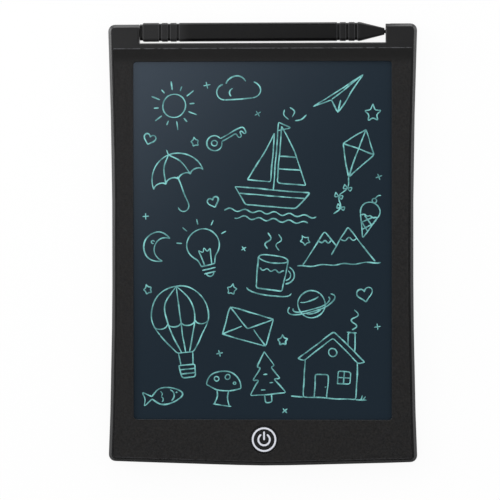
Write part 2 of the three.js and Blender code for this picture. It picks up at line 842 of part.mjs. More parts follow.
// The coil that raises the cell's voltage for the erasing pulse
function addCoil() {
  const x = boardX[0] + coilInset;
  const y = buttonY - coilDrop;
  const base = [boardTop + solderGap, boardTop + coilHeight];
  const coil = block(about(x, coilWidth), about(y, coilWidth), base);
  const groove = [boardTop + coilHeight - pinThickness, boardTop + coilHeight + overrun];
  const ring = rod(coilRadius, groove, x, y).subtract(rod(coilRadius - pinThickness, groove, x, y));
  piece('boost_inductor', coil.subtract(ring), chipResin);
}

// A small two-ended part: a body between two end caps that stand a little proud
function addSmallPart(name, x, y, [length, width, height], finish) {
  const base = boardTop + solderGap;
  const body = block(about(x, length), about(y, width - 2 * solderGap), [base + solderGap, base + height]);
  const capSize = length / 5;
  const top = base + height + solderGap;
  const left = block([x - length / 2, x - length / 2 + capSize], about(y, width), [base, top]);
  const right = block([x + length / 2 - capSize, x + length / 2], about(y, width), [base, top]);
  piece(name, body.add(left).add(right), finish);
}

function addSmallParts() {
  const capacitor = [capLength, capWidth, capHeight];
  const resistor = [resistorLength, resistorWidth, resistorHeight];
  const capX = boardX[0] + capInset;
  addSmallPart('input_capacitor', capX, buttonY - capSpacing / 2, capacitor, ceramic);
  addSmallPart('output_capacitor', capX, buttonY - 3 * capSpacing / 2, capacitor, ceramic);
  const resistorX = buttonX + resistorShift;
  const resistorY = buttonY - chipDrop + chipWidth / 2 + pinReach + resistorSpacing / 2;
  addSmallPart('timing_resistor', resistorX, resistorY, resistor, chipResin);
  addSmallPart('pull_up_resistor', resistorX, resistorY + resistorSpacing, resistor, chipResin);
  const diode = [diodeLength, diodeWidth, diodeHeight];
  addSmallPart('boost_diode', boardX[0] + diodeInset, buttonY - capSpacing, diode, chipResin);
}

// The push switch: a base with a well, a metal dome, a cover plate and a plunger
function addEraseSwitch() {
  const spot = groupAt(buttonX, buttonY, boardTop);
  const size = about(0, switchWidth);
  const well = rod(domeRadius + fit / 2, [switchFloor, switchHeight + overrun]);
  piece('erase_switch_base', block(size, size, [0, switchHeight]).subtract(well), chipResin, spot);
  piece('snap_dome', dome(switchFloor, switchHeight), springSteel, spot);
  const hole = rod(plungerRadius + closeFit, [0, switchHeight + overrun]);
  const cover = block(size, size, [switchHeight, switchHeight + coverThickness]).subtract(hole);
  piece('erase_switch_cover', cover, springSteel, spot);
  const plunger = rod(plungerRadius, [switchHeight, switchHeight + plungerHeight]);
  piece('erase_switch_plunger', plunger, socketPlastic, spot);
}

// A shallow metal dome of even thickness that opens downwards
function dome(low, high) {
  const rise = high - low;
  const innerRim = domeRadius * Math.sqrt(1 - domeThickness / rise);
  const profile = [];
  for (let i = 0; i <= domeSteps; i += 1) {
    const radius = innerRim * i / domeSteps;
    profile.push([radius, high - domeThickness - rise * (radius / domeRadius) ** 2]);
  }
  for (let i = domeSteps; i >= 0; i -= 1) {
    const radius = domeRadius * i / domeSteps;
    profile.push([radius, high - rise * (radius / domeRadius) ** 2]);
  }
  return turned(profile, smallSteps);
}

// The round cap: hollow from below, with a flange that keeps it behind the face
function addEraseButton() {
  const spot = groupAt(buttonX, buttonY, 0);
  const inner = buttonRadius - buttonWall;
  const ceiling = panelTop - buttonWall;
  const flangeTop = flangeBottom + flangeThickness;
  const profile = [
    [0, plungerTop],
    [bossRadius, plungerTop],
    [bossRadius, ceiling],
    [inner, ceiling],
    [inner, flangeBottom],
    [flangeRadius, flangeBottom],
    [flangeRadius, flangeTop],
    [buttonRadius, flangeTop],
    [buttonRadius, panelTop - buttonEdge],
    [buttonRadius - buttonEdge, panelTop],
    [0, panelTop],
  ];
  piece('erase_button', turned(profile), buttonPlastic, spot);
}

// The cell: a can with a slightly smaller cap on its inner face
function addCell() {
  const profile = [
    [0, cellBottom],
    [cellRadius - cellStep, cellBottom],
    [cellRadius, cellBottom + cellStep],
    [cellRadius, cellTop - 2 * cellStep],
    [cellRadius - cellStep, cellTop - cellStep],
    [cellRadius - cellRim, cellTop - cellStep],
    [cellRadius - cellRim, cellTop],
    [0, cellTop],
  ];
  piece('coin_cell', turned(profile), cellSteel, groupAt(cellX, cellY, 0));
}

// Two sprung strips from the board: one presses on the cell's cap, the other on its side
function addContacts() {
  const padZ = boardTop + contactThickness / 2;
  const padX = boardRight - contactPad;
  const edgeX = boardRight + fit;
  const overZ = cellTop + contactRise;
  const tipX = cellX - cellRadius + contactReach;
  const tipZ = cellTop + contactThickness / 2;
  const capStrip = [
    [padX, padZ],
    [boardRight, padZ],
    [cellX - bayRadius, overZ],
    [tipX - 2 * contactTip, overZ],
    [tipX - contactTip / 2, tipZ],
    [tipX + contactTip / 2, tipZ],
    [tipX + contactTip, overZ],
  ];
  const capY = cellY - contactOffset;
  const negative = stripAlongX(capStrip, contactThickness, contactWidth, capY);
  piece('battery_negative_contact', negative, springSteel);

  const sideY = cellY + contactOffset;
  const nearY = contactOffset - contactWidth / 2;
  const canX = cellX - Math.hypot(cellRadius, nearY) * Math.cos(Math.asin(nearY / cellRadius));
  const touchX = canX - contactThickness / 2 - touch;
  const sideStrip = [
    [padX, padZ],
    [edgeX, padZ],
    [edgeX + contactThickness, padZ - contactThickness],
    [touchX, cellTop - contactFall],
    [edgeX + contactThickness, ledgeTop + contactThickness],
  ];
  const positive = stripAlongX(sideStrip, contactThickness, contactWidth, sideY);
  piece('battery_positive_contact', positive, springSteel);
}

// The door lies flush in the back. Two hooks hold its far edge, and a captive screw holds its near end
function addDoor() {
  const outline = roundedRectangle(doorX, doorY, doorCorner);
  let door = plate(outline, [0, doorThickness]);
  door = door.add(rod(screwBossRadius, [doorThickness / 2, screwBossTop], cellX, screwY, roundSteps));
  for (const middle of hookMiddles) {
    const x = about(middle, hookWidth);
    const root = [hingeY - hookRoot, hingeY - closeFit];
    door = door.add(block(x, root, [doorThickness / 2, hookTop]));
    door = door.add(block(x, [hingeY - hookRoot, hingeY + hookReach], [hookBottom, hookTop]));
  }
  const pocketTop = screwBossTop - screwSeat;
  door = door.subtract(rod(screwHeadRadius + closeFit, [-overrun, pocketTop], cellX, screwY));
  door = door.subtract(rod(screwRadius + closeFit, [0, screwBossTop + overrun], cellX, screwY));
  piece('battery_door', door, casingPlastic);

  const head = rod(screwHeadRadius, [touch, touch + screwHeadHeight], cellX, screwY);
  const shank = rod(screwRadius, [touch, touch + screwHeadHeight + screwLength], cellX, screwY);
  const drive = crossSlot(cellX, screwY, [-overrun, touch + driveDepth]);
  piece('battery_screw', head.add(shank).subtract(drive), screwSteel);
}

// The slider's knob lies in the back; its neck reaches past the board's edge to the switch's lever
function addLock() {
  const spot = groupAt(lockRestX, neckY, 0);
  const knob = block(about(0, knobWidth), about(0, knobLength), [knobSink, knobTop]);
  const neckTop = leverBottom + leverHeight / 2;
  const neck = block(about(0, neckWidth), about(0, neckLength), [knobTop - knobSink, neckTop]);
  const keeperZ = [floorThickness + touch, floorThickness + touch + keeperThickness];
  const keeper = block(about(0, neckWidth), about(0, neckLength + 2 * keeperReach), keeperZ);
  const notchZ = [leverBottom - closeFit, neckTop + overrun];
  const notch = block(about(0, leverWidth + 2 * touch), about(0, neckLength + overrun), notchZ);
  let slider = knob.add(neck).add(keeper).subtract(notch);
  for (const step of [-2, -1, 0, 1, 2]) {
    const ridge = about(step * knobWidth / 8, knobWidth / 16);
    slider = slider.subtract(block(ridge, about(0, knobLength * 3 / 4), [0, knobSink + touch]));
  }
  piece('lock_slider', slider, buttonPlastic, spot);

  const bodyY = [boardY[1] - closeFit - lockBodyLength, boardY[1] - closeFit];
  const bodyZ = [boardTop, boardTop + lockBodyHeight];
  let body = block(about(lockX, lockBodyWidth), bodyY, bodyZ);
  const slotX = about(lockX, leverWidth + lockTravel + 2 * closeFit);
  const slotY = [bodyY[1] - leverRoot - closeFit, bodyY[1] + overrun];
  body = body.subtract(block(slotX, slotY, [leverBottom - closeFit, leverTop + closeFit]));
  piece('lock_switch_body', body, chipResin);
  const leverY = [bodyY[1] - leverRoot, neckY + neckLength / 2];
  const lever = block(about(lockRestX, leverWidth), leverY, [leverBottom, leverTop]);
  piece('lock_switch_lever', lever, socketPlastic);
}

// Places of the grooves' near edges, counted inwards from each end of the barrel
function grooveEdges() {
  const edges = [];
  for (let i = 0; i < grooveCount; i += 1) {
    edges.push(tailX + tailBand + i * groovePitch);
    edges.push(coneX - noseBand - grooveWidth - i * groovePitch);
  }
  return edges.sort((a, b) => a - b);
}

function addStylus() {
  const spot = groupAt(0, stylusY, seamZ);
  const section = roundedRectangle(about(0, stylusThickness), about(0, stylusWidth), stylusCorner);
  const slim = roundedRectangle(
    about(0, stylusThickness - 2 * grooveDepth),
    about(0, stylusWidth - 2 * grooveDepth),
    stylusCorner,
  );
  const bandStart = tailX + tailChamfer;
  let barrel = bar(slim, [tailX + touch, coneX]);
  const shrink = [1 - 2 * tailShrink / stylusThickness, 1 - 2 * tailShrink / stylusWidth];
  barrel = barrel.add(bar(section, [tailX, bandStart], shrink));
  let from = bandStart;
  for (const edge of [...grooveEdges(), coneX]) {
    barrel = barrel.add(bar(section, [from, edge]));
    from = edge + grooveWidth;
  }
  const tip = [coneTip / stylusThickness, coneTip / stylusWidth];
  barrel = barrel.add(bar(section, [coneX, noseX], [1, 1], tip));
  const stemHole = nibStemRadius + closeFit;
  barrel = barrel.subtract(turnedAlongX([
    [0, noseX - nibStem - fit],
    [stemHole, noseX - nibStem - fit],
    [stemHole, noseX + overrun],
    [0, noseX + overrun],
  ]));
  barrel = barrel.subtract(block(
    [tailX - overrun, tailX + plugStem + fit],
    about(0, tongueWidth + 2 * closeFit),
    about(0, tongueHeight + 2 * closeFit),
  ));
  piece('stylus_barrel', barrel, stylusPlastic, spot);

  const nib = turnedAlongX([
    [0, noseX - nibStem],
    [nibStemRadius, noseX - nibStem],
    [nibStemRadius, noseX + touch],
    [nibRadius, noseX + touch],
    [nibRadius, slotHalf + earGrip / 3],
    [nibRadius * 2 / 3, slotHalf + earGrip * 5 / 6],
    [nibRadius / 3, slotHalf + earGrip],
    [0, slotHalf + earGrip],
  ]);
  piece('stylus_nib', nib, nibPlastic, spot);

  const tongueX = [-slotHalf - earGrip, tailX + plugStem];
  const tongue = block(tongueX, about(0, tongueWidth), about(0, tongueHeight));
  const neck = bar(
    roundedRectangle(
      about(0, stylusThickness - 2 * neckInset),
      about(0, stylusWidth - 2 * neckInset),
      stylusCorner,
    ),
    [-slotHalf + tonguePlay, tailX - touch],
  );
  piece('stylus_end_plug', tongue.add(neck), nibPlastic, spot);
}

addBackCover();
addFrontFrame();
addFrontPanel();
addScreen();
addLead();
addBoard();
addChip();
addCoil();
addSmallParts();
addEraseSwitch();
addEraseButton();
addCell();
addContacts();
addDoor();
addLock();
addStylus();

export default tablet;
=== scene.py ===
# %% [markdown]
# A writing tablet dressed for its portrait
#
# The object is a thin black tablet with a liquid crystal screen. Pressing on the screen with a
# stylus leaves a bright line, and the round button in the chin clears it. The CAD model has the
# size, the place and the motion of every piece. This script gives the pieces their real edges
# and finishes, and it never moves them.
#
# The first cell loads the CAD model as a fixed frame. Everything is in metres, with the tablet
# on its back: X to the right, Y towards the stylus and Z out of the screen.

# %% Load the frame
import math

import bmesh
import bpy
from mathutils import Matrix, Vector, noise


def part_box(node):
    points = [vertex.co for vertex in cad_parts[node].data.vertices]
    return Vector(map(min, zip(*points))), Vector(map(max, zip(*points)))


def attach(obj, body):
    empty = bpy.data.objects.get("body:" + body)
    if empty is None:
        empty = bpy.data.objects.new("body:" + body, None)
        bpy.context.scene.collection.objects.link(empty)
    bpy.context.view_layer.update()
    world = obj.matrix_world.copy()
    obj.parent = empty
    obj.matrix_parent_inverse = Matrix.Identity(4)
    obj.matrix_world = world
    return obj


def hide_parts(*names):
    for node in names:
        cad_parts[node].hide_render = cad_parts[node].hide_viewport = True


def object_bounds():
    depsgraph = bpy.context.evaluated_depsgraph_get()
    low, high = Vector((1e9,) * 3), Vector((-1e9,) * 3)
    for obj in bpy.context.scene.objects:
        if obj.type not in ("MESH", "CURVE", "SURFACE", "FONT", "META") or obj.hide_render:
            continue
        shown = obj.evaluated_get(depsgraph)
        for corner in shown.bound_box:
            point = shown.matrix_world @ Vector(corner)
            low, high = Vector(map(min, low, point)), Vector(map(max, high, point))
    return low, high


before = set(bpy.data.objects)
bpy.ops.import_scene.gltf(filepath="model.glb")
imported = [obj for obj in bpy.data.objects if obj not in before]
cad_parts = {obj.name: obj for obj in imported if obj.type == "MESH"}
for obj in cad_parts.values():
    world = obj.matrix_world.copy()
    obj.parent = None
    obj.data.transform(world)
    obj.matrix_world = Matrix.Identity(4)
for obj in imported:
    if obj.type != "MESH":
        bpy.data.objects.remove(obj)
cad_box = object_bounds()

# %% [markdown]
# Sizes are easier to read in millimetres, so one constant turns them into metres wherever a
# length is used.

MM = 0.001
casing_low, casing_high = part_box("front_frame")
panel_low, panel_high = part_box("bezel_overlay")
button_low, button_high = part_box("erase_button")
film_low, film_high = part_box("lcd_front_film")
print("casing", [round(size / MM, 1) for size in casing_high - casing_low], "mm")

# %% [markdown]
# Colours are noted as a screen shows them, in sRGB hex values. Shaders calculate in linear
# light, so one function turns a hex value into what a colour socket takes.
#
# A material is a small graph of nodes. One helper feeds a node's inputs from a dictionary of
# plain values or of other nodes' outputs to link from. Another adds a node with its settings,
# feeds it, and gives back the output that the next node reads.

# %% Colour and node helpers
def linear(hex_colour):
    """The linear colour, with full alpha, of an sRGB hex value."""
    channels = [int(hex_colour[i:i + 2], 16) / 255 for i in (0, 2, 4)]
    return [*(c / 12.92 if c <= 0.04045 else ((c + 0.055) / 1.055) ** 2.4 for c in channels), 1]


def shade(colour, share):
    """A linear colour made darker or paler."""
    return [channel * share for channel in colour[:3]] + [1]


def feed(tree, node, inputs):
    """Sets or links inputs by their names, or by number where a node has several of one name."""
    for key, value in inputs.items():
        if isinstance(key, int):
            socket = node.inputs[key]
        else:
            socket = next(s for s in node.inputs if s.name == key and s.enabled)
        if isinstance(value, bpy.types.NodeSocket):
            tree.links.new(value, socket)
        else:
            socket.default_value = value


def add_node(tree, kind, inputs=None, output=None, **settings):
    """Adds a shader node with its settings and links, and returns one of its outputs."""
    made = tree.nodes.new("ShaderNode" + kind)
    for name, value in settings.items():
        setattr(made, name, value)
    feed(tree, made, inputs or {})
    return next(s for s in made.outputs if s.enabled and output in (None, s.name))


def start_material(name, sockets):
    """A material with a plain shader: its tree, its shader and the place on the object."""
    material = bpy.data.materials.new(name)
    material.use_nodes = True
    tree = material.node_tree
    shader = tree.nodes["Principled BSDF"]
    feed(tree, shader, sockets)
    return material, tree, shader, add_node(tree, "TexCoord", output="Object")


# %% [markdown]
# Moulded plastic is never quite smooth. The mould is roughened by sparks or by etching, and the
# plastic copies that grain. The eye reads it as a soft, broken highlight. Two noises make it: a
# fine one that lifts the surface and speckles its colour, and a wide one for the slight
# unevenness of colour and gloss that handling and flow marks leave. The grain of a real tool is
# about 0.1 to 0.3 mm. It is drawn 2 times as coarse here, because a finer one would not show at
# the size of the picture.

# %% Moulded plastics
GRAIN_SHOWN = 2.0
UNEVEN_PATCH = 35 * MM
GLOSS_SPREAD = 0.05
# Nearly all of a noise's values lie between these two
SPREAD = {"From Min": 0.3, "From Max": 0.7}


def moulded(name, colour, grain, depth, gloss, level, uneven=0.12):
    """Plastic with the given colour, grain and depth in millimetres, roughness and reflection."""
    material, tree, shader, place = start_material(name, {"Specular IOR Level": level})
    fine = add_node(tree, "TexNoise", {
        "Vector": place, "Scale": 1 / (grain * GRAIN_SHOWN * MM), "Detail": 3.0, "Roughness": 0.6})
    wide = add_node(tree, "TexNoise", {
        "Vector": place, "Scale": 1 / UNEVEN_PATCH, "Detail": 3.0, "Roughness": 0.5})
    base = linear(colour)
    pale = shade(base, 1 + uneven)
    speckle = add_node(tree, "MapRange", {"Value": fine, **SPREAD})
    grained = add_node(tree, "Mix", {
        "Factor": speckle, "A": shade(base, 1 - uneven), "B": pale}, data_type="RGBA")
    handled = add_node(tree, "Mix", {"Factor": wide, "A": grained, "B": pale}, data_type="RGBA")
    rough = add_node(tree, "MapRange", {
        "Value": wide, **SPREAD, "To Min": gloss - GLOSS_SPREAD, "To Max": gloss + GLOSS_SPREAD})
    bump = add_node(tree, "Bump", {"Height": fine, "Distance": depth * MM, "Strength": 1.0})
    feed(tree, shader, {"Base Color": handled, "Roughness": rough, "Normal": bump})
    return material


# Spark-textured ABS: a dull black that greys a little where the light grazes it
casing_abs = moulded("spark_textured_abs", "1b1b1c", grain=0.3, depth=0.015, gloss=0.36, level=0.5)
# Etched ABS for the button and the lock's knob: the same black, finer and a little duller
button_abs = moulded("etched_abs", "1d1d1f", grain=0.2, depth=0.012, gloss=0.5, level=0.3)
# Acetal: a slippery, waxy plastic for what rubs
nib_acetal = moulded("black_acetal", "0b0b0c", grain=0.4, depth=0.003, gloss=0.34, level=0.35)

# %% [markdown]
# The front panel is a sheet of polycarbonate, printed black behind and matt in front. It gives
# the eye a fine, even speckle. Above the window it is painted a touch darker, as painted shade.
# The real grain is about 0.1 mm. It is drawn at 0.9 mm, because a finer one would not show.
# Along the panel's top edge and below the window a line of short pale dashes is a painted
# highlight where the cut edge faces the light, broken up as a rough cut is, and fainter dashes
# run along the bottom. Along the sides a dark line is painted shadow of the gap beside the
# casing. The panel's mesh carries an attribute named rim: 1 along the top, 0.5 below the window,
# 0.25 along the bottom, -1 along the sides and 0 on the face. So the dashes and the dark line
# follow the edge wherever it goes.

# %% Front panel sheet
RIM = "rim"
# The part above the window is painted darker: painted shade
TOP_SHADE_RANGE = {"From Min": 88 * MM, "From Max": 92 * MM, "To Max": 0.8}
DASHES = {"From Min": 0.4, "From Max": 0.52}


def matt_sheet():
    material, tree, shader, place = start_material("matt_polycarbonate", {"Specular IOR Level": 0.3})
    fine = add_node(tree, "TexNoise", {
        "Vector": place, "Scale": 1 / (0.9 * MM), "Detail": 2.0, "Roughness": 0.7})
    speckle = add_node(tree, "MapRange", {"Value": fine, **SPREAD})
    tint = add_node(tree, "TexNoise", {"Vector": place, "Scale": 1 / (2.5 * MM), "Detail": 1.0})
    cool = add_node(tree, "Mix", {
        "Factor": speckle, "A": linear("171719"), "B": linear("262628")}, data_type="RGBA")
    warm = add_node(tree, "Mix", {
        "Factor": speckle, "A": linear("191817"), "B": linear("292725")}, data_type="RGBA")
    printed = add_node(tree, "Mix", {"Factor": tint, "A": cool, "B": warm}, data_type="RGBA")
    up = add_node(tree, "SeparateXYZ", {"Vector": place}, output="Y")
    # Painted shade: darker towards 121212 above the window
    top_shade = add_node(tree, "MapRange", {"Value": up, **TOP_SHADE_RANGE})
    face = add_node(tree, "Mix", {"Factor": top_shade, "A": printed, "B": linear("121212")}, data_type="RGBA")
    nick = add_node(tree, "TexNoise", {
        "Vector": place, "Scale": 1 / (3.0 * MM), "Detail": 4.0, "Roughness": 0.75})
    dash = add_node(tree, "MapRange", {"Value": nick, **DASHES})
    edge = add_node(tree, "Attribute", attribute_name=RIM, output="Fac")
    # Painted shadow: the edge at the sides is darkened as the gap beside the casing
    side_shadow = add_node(tree, "MapRange", {"Value": edge, "From Max": -1.0})
    sides = add_node(tree, "Mix", {"Factor": side_shadow, "A": face, "B": linear("101011")}, data_type="RGBA")
    # Painted highlight: pale dashes where the cut edge faces the light
    edge_highlight = add_node(tree, "Math", {0: edge, 1: dash}, operation="MULTIPLY", use_clamp=True)
    colour = add_node(tree, "Mix", {"Factor": edge_highlight, "A": sides, "B": linear("48494c")}, data_type="RGBA")
    rough = add_node(tree, "MapRange", {"Value": fine, **SPREAD, "To Min": 0.46, "To Max": 0.56})
    bump = add_node(tree, "Bump", {"Height": fine, "Distance": 0.012 * MM, "Strength": 1.0})
    feed(tree, shader, {"Base Color": colour, "Roughness": rough, "Normal": bump})
    return material


panel_sheet = matt_sheet()

# %% [markdown]
# The writing film is clear polyester with a hard coat. The crystal layer under it looks deep
# blue-black until it is pressed. Two things meet the eye: a smooth, slightly soft reflection of
# the room, which pales one corner, and a faint cloudiness in the crystal. The reflection comes
# from the coating's gloss and from the light, and the clouds are in the colour. The coating has
# a faint grain as well. It is drawn at 0.5 mm, coarser than it is, so that it shows at all.
#
# A drawn line is crystal that the pressure has turned bright. It is a clean blue-green, a
# little brighter where the hand pressed harder.

# %% Writing film and drawn line
def coated_film():
    material, tree, shader, place = start_material("hard_coated_film", {
        "Specular IOR Level": 0.5, "Roughness": 0.16, "Specular Tint": linear("daeaff")})
    cloud = add_node(tree, "TexNoise", {
        "Vector": place, "Scale": 1 / (28 * MM), "Detail": 2.0, "Roughness": 0.4})
    grain = add_node(tree, "TexNoise", {"Vector": place, "Scale": 1 / (0.5 * MM), "Detail": 1.0})
    clouded = add_node(tree, "Mix", {
        "Factor": cloud, "A": linear("1e2832"), "B": linear("202b34")}, data_type="RGBA")
    colour = add_node(tree, "Mix", {
        "Factor": grain, "A": clouded, "B": linear("1f2a33")}, data_type="RGBA")
    bump = add_node(tree, "Bump", {"Height": grain, "Distance": 0.0008 * MM, "Strength": 1.0})
    feed(tree, shader, {"Base Color": colour, "Normal": bump})
    return material


def pressed_crystal():
    material, tree, shader, place = start_material(
        "pressed_crystal", {"Specular IOR Level": 0.5, "Roughness": 0.3})
    press = add_node(tree, "TexNoise", {
        "Vector": place, "Scale": 1 / (4.0 * MM), "Detail": 2.0, "Roughness": 0.6})
    share = add_node(tree, "MapRange", {"Value": press, "From Min": 0.35, "From Max": 0.65})
    colour = add_node(tree, "Mix", {
        "Factor": share, "A": linear("508889"), "B": linear("84cfcd")}, data_type="RGBA")
    feed(tree, shader, {"Base Color": colour})
    return material


writing_film = coated_film()
drawn_line = pressed_crystal()

# %% [markdown]
# White marks are printed with a soft pad that carries the ink. The ink is opaque and faintly
# cool, and it lies on the plastic about as thick as paint.

# %% Printed ink
THIN_INK = 0.86


def pad_ink(name, colour):
    material, tree, shader, place = start_material(name, {"Specular IOR Level": 0.4, "Roughness": 0.5})
    thin = add_node(tree, "TexNoise", {"Vector": place, "Scale": 1 / (0.6 * MM), "Detail": 2.0})
    full = linear(colour)
    ink = add_node(tree, "Mix", {"Factor": thin, "A": shade(full, THIN_INK), "B": full}, data_type="RGBA")
    feed(tree, shader, {"Base Color": ink})
    return material


white_ink = pad_ink("white_pad_ink", "e2e5ee")
grey_ink = pad_ink("grey_pad_ink", "8c8e92")

# %% [markdown]
# Most pieces end the same way. The mesh gets its outward faces, its soft and hard edges by
# angle, and weighted normals, which keep a large flat face flat beside a narrow rounded one.
# Then it is tied to the frame: it rides on a body and stands for the CAD solids that it
# replaces.

# %% Finishing a piece
SOFT_ANGLE = math.radians(38)


def finish(bm, name, material, body, nodes=()):
    """Turns a bmesh into a piece of the tablet."""
    bmesh.ops.recalc_face_normals(bm, faces=bm.faces)
    mesh = bpy.data.meshes.new(name)
    bm.to_mesh(mesh)
    bm.free()
    mesh.materials.append(material)
    mesh.shade_smooth()
    mesh.set_sharp_from_angle(angle=SOFT_ANGLE)
    piece = bpy.data.objects.new(name, mesh)
    bpy.context.scene.collection.objects.link(piece)
    weighted = piece.modifiers.new("weighted", "WEIGHTED_NORMAL")
    weighted.keep_sharp = True
    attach(piece, body)
    if nodes:
        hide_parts(*nodes)
    size = [round(s / MM, 2) for s in piece.dimensions]
    print(f"{name}: {len(mesh.polygons)} faces, {size} mm")


def round_off(bm, geom, radius, segments, affect="EDGES", clamp=True):
    """Rounds edges, or the corners of a flat sheet, with a radius in metres."""
    bmesh.ops.bevel(bm, geom=geom, offset=radius, offset_type="OFFSET", affect=affect,
                    segments=segments, profile=0.5, material=-1, clamp_overlap=clamp)


def extruded(bm, faces, move):
    """Extrudes faces by a vector and returns the new vertices and the new end faces."""
    made = bmesh.ops.extrude_face_region(bm, geom=faces)["geom"]
    verts = [g for g in made if isinstance(g, bmesh.types.BMVert)]
    bmesh.ops.translate(bm, verts=verts, vec=move)
    return verts, [g for g in made if isinstance(g, bmesh.types.BMFace)]


# %% [markdown]
# The casing is two mouldings that meet half way up the sides. They are full of openings: for
# the battery door, the lock slider and the stylus's ends. The CAD solids have all of these, so
# the fine pieces start from copies of them. A solid comes as loose triangles, so its copy is
# merged and its flat faces are joined. After that, the edges that a finger can reach get the
# radii that a real mould has: a soft one on both edges of the rim's slope, a tight one around the
# openings in the back, and a wide one along the stylus's slot, where it draws a line of light.
# Bevel would cut that one short because the slot has small steps in it, so its clamp is off.

# %% Casing mouldings
FLAT_ANGLE = math.radians(0.6)
SHARP_ANGLE = math.radians(50)
MERGE = 1e-6
MOULD_RADIUS = 0.12 * MM


def merged_copy(node_name):
    """A CAD solid as a clean bmesh."""
    bm = bmesh.new()
    bm.from_mesh(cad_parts[node_name].data)
    bmesh.ops.remove_doubles(bm, verts=bm.verts, dist=MERGE)
    bmesh.ops.dissolve_limit(bm, angle_limit=FLAT_ANGLE, verts=bm.verts, edges=bm.edges)
    return bm


def outward_edges(bm, height, at_least, at_most=math.pi):
    """The outward edges at one height whose faces meet at an angle in a range."""
    return [
        e for e in bm.edges
        if len(e.link_faces) == 2 and e.is_convex
        and at_least < e.calc_face_angle(0) < at_most
        and all(abs(v.co.z - height) < MERGE for v in e.verts)
    ]


def sharp_edges(bm, height):
    """The outward edges at one height that are nearly square."""
    return outward_edges(bm, height, SHARP_ANGLE)


RIM_SLOPE = 1.3 * MM
RIM_SOFT = 0.3 * MM
RIM_ANGLES = (math.radians(30), math.radians(55))
SLOT_EDGE = 0.8 * MM

back = merged_copy("back_cover")
rim_edges = outward_edges(back, 0, *RIM_ANGLES) + outward_edges(back, RIM_SLOPE, *RIM_ANGLES)
round_off(back, rim_edges, RIM_SOFT, 3)
round_off(back, sharp_edges(back, 0), MOULD_RADIUS, 2)
finish(back, "casing_back", casing_abs, "casing", ["back_cover"])

front = merged_copy("front_frame")
rim_edges = outward_edges(front, casing_high.z, *RIM_ANGLES)
rim_edges += outward_edges(front, casing_high.z - RIM_SLOPE, *RIM_ANGLES)
round_off(front, rim_edges, RIM_SOFT, 3)
slot_edges = [e for e in sharp_edges(front, casing_high.z) if min(v.co.y for v in e.verts) > panel_high.y]
round_off(front, slot_edges, SLOT_EDGE, 4, clamp=False)
print(len(slot_edges), "edges of the stylus slot rounded")
finish(front, "casing_front", casing_abs, "casing", ["front_frame"])

# %% [markdown]
# The battery door lies flush in the back, and its screw sits in a round pocket. Both start from
# their solids in the same way, with a smaller radius on the screw.

# %% Battery door and screw
SCREW_EDGE = 0.08 * MM


def zinc_plate():
    """Zinc-plated steel: bluish grey, a little dull, in patches drawn coarser than they are."""
    material, tree, shader, place = start_material("zinc_plated_steel", {"Metallic": 1.0})
    wear = add_node(tree, "TexNoise", {
        "Vector": place, "Scale": 1 / (0.7 * MM), "Detail": 4.0, "Roughness": 0.6})
    colour = add_node(tree, "Mix", {
        "Factor": wear, "A": linear("83878c"), "B": linear("a3a7ab")}, data_type="RGBA")
    rough = add_node(tree, "MapRange", {"Value": wear, **SPREAD, "To Min": 0.28, "To Max": 0.42})
    feed(tree, shader, {"Base Color": colour, "Roughness": rough})
    return material


screw_zinc = zinc_plate()
door = merged_copy("battery_door")
round_off(door, sharp_edges(door, 0), MOULD_RADIUS, 2)
finish(door, "door_leaf", casing_abs, "door", ["battery_door"])

screw = merged_copy("battery_screw")
screw_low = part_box("battery_screw")[0]
round_off(screw, sharp_edges(screw, screw_low.z), SCREW_EDGE, 2)
finish(screw, "door_screw", screw_zinc, "door", ["battery_screw"])

# %% [markdown]
# The front panel covers the face inside a narrow rim of casing. Its outline has three shapes in
# it: sides that are slightly hollow, a bottom that falls in two straight runs to a soft point
# below the button, and small round corners. It could be drawn point by point, but it is easier
# to start from a plain rectangle, cut its edges into short pieces, and move each new vertex
# onto the curve. The corners are then rounded by a bevel on their vertices alone.
#
# The window and the button's hole are two more loops. A fill between the loops makes the sheet,
# and an extrusion gives it its thickness. Two insets then draw the narrow border along every
# edge, and its vertices get their value of the rim attribute.

# %% Outline of the face
SIDE_SAG = 1.85 * MM
CHIN_DROP = 1.86 * MM
CHIN_ROUND = 10 * MM
CASING_CORNER = 3.3 * MM
half_width = cad_box[1].x
half_length = -cad_box[0].y
button_at = (button_low + button_high) / 2


def side_x(y):
    """Half the casing's width at a height along it."""
    return half_width - SIDE_SAG * (1 - (y / (half_length - CASING_CORNER)) ** 2)


def chin_y(x):
    """The bottom edge: straight on both sides of a rounded point below the button."""
    reach = math.hypot(half_width - CASING_CORNER, CHIN_ROUND) - CHIN_ROUND
    fall = math.hypot(x - button_at.x, CHIN_ROUND) - CHIN_ROUND
    return -half_length + CHIN_DROP * fall / reach


def loop_of(bm, corners, z):
    """A closed loop through the given corners: its vertices and its edges."""
    verts = [bm.verts.new((x, y, z)) for x, y in corners]
    return verts, [bm.edges.new((a, b)) for a, b in zip(verts, verts[1:] + verts[:1])]


# %% Front panel
PANEL_INSET = 2 * MM
PANEL_CORNER = 1.4 * MM
PANEL_EDGE = 0.1 * MM
BORDER_LINE = 0.36 * MM
BORDER_END = 0.03 * MM
WINDOW_CORNER = 1.5 * MM
SHEET_BORDER = 1.5 * MM
BUTTON_RADIUS = 6.7 * MM
BUTTON_GAP = 0.2 * MM
SIDE_CUTS = 39
CHIN_CUTS = 47
CORNER_STEPS = 8
HOLE_STEPS = 96

panel_top_x = side_x(panel_high.y) - PANEL_INSET
corner_y = chin_y(half_width) + PANEL_INSET
corner_x = side_x(corner_y) - PANEL_INSET

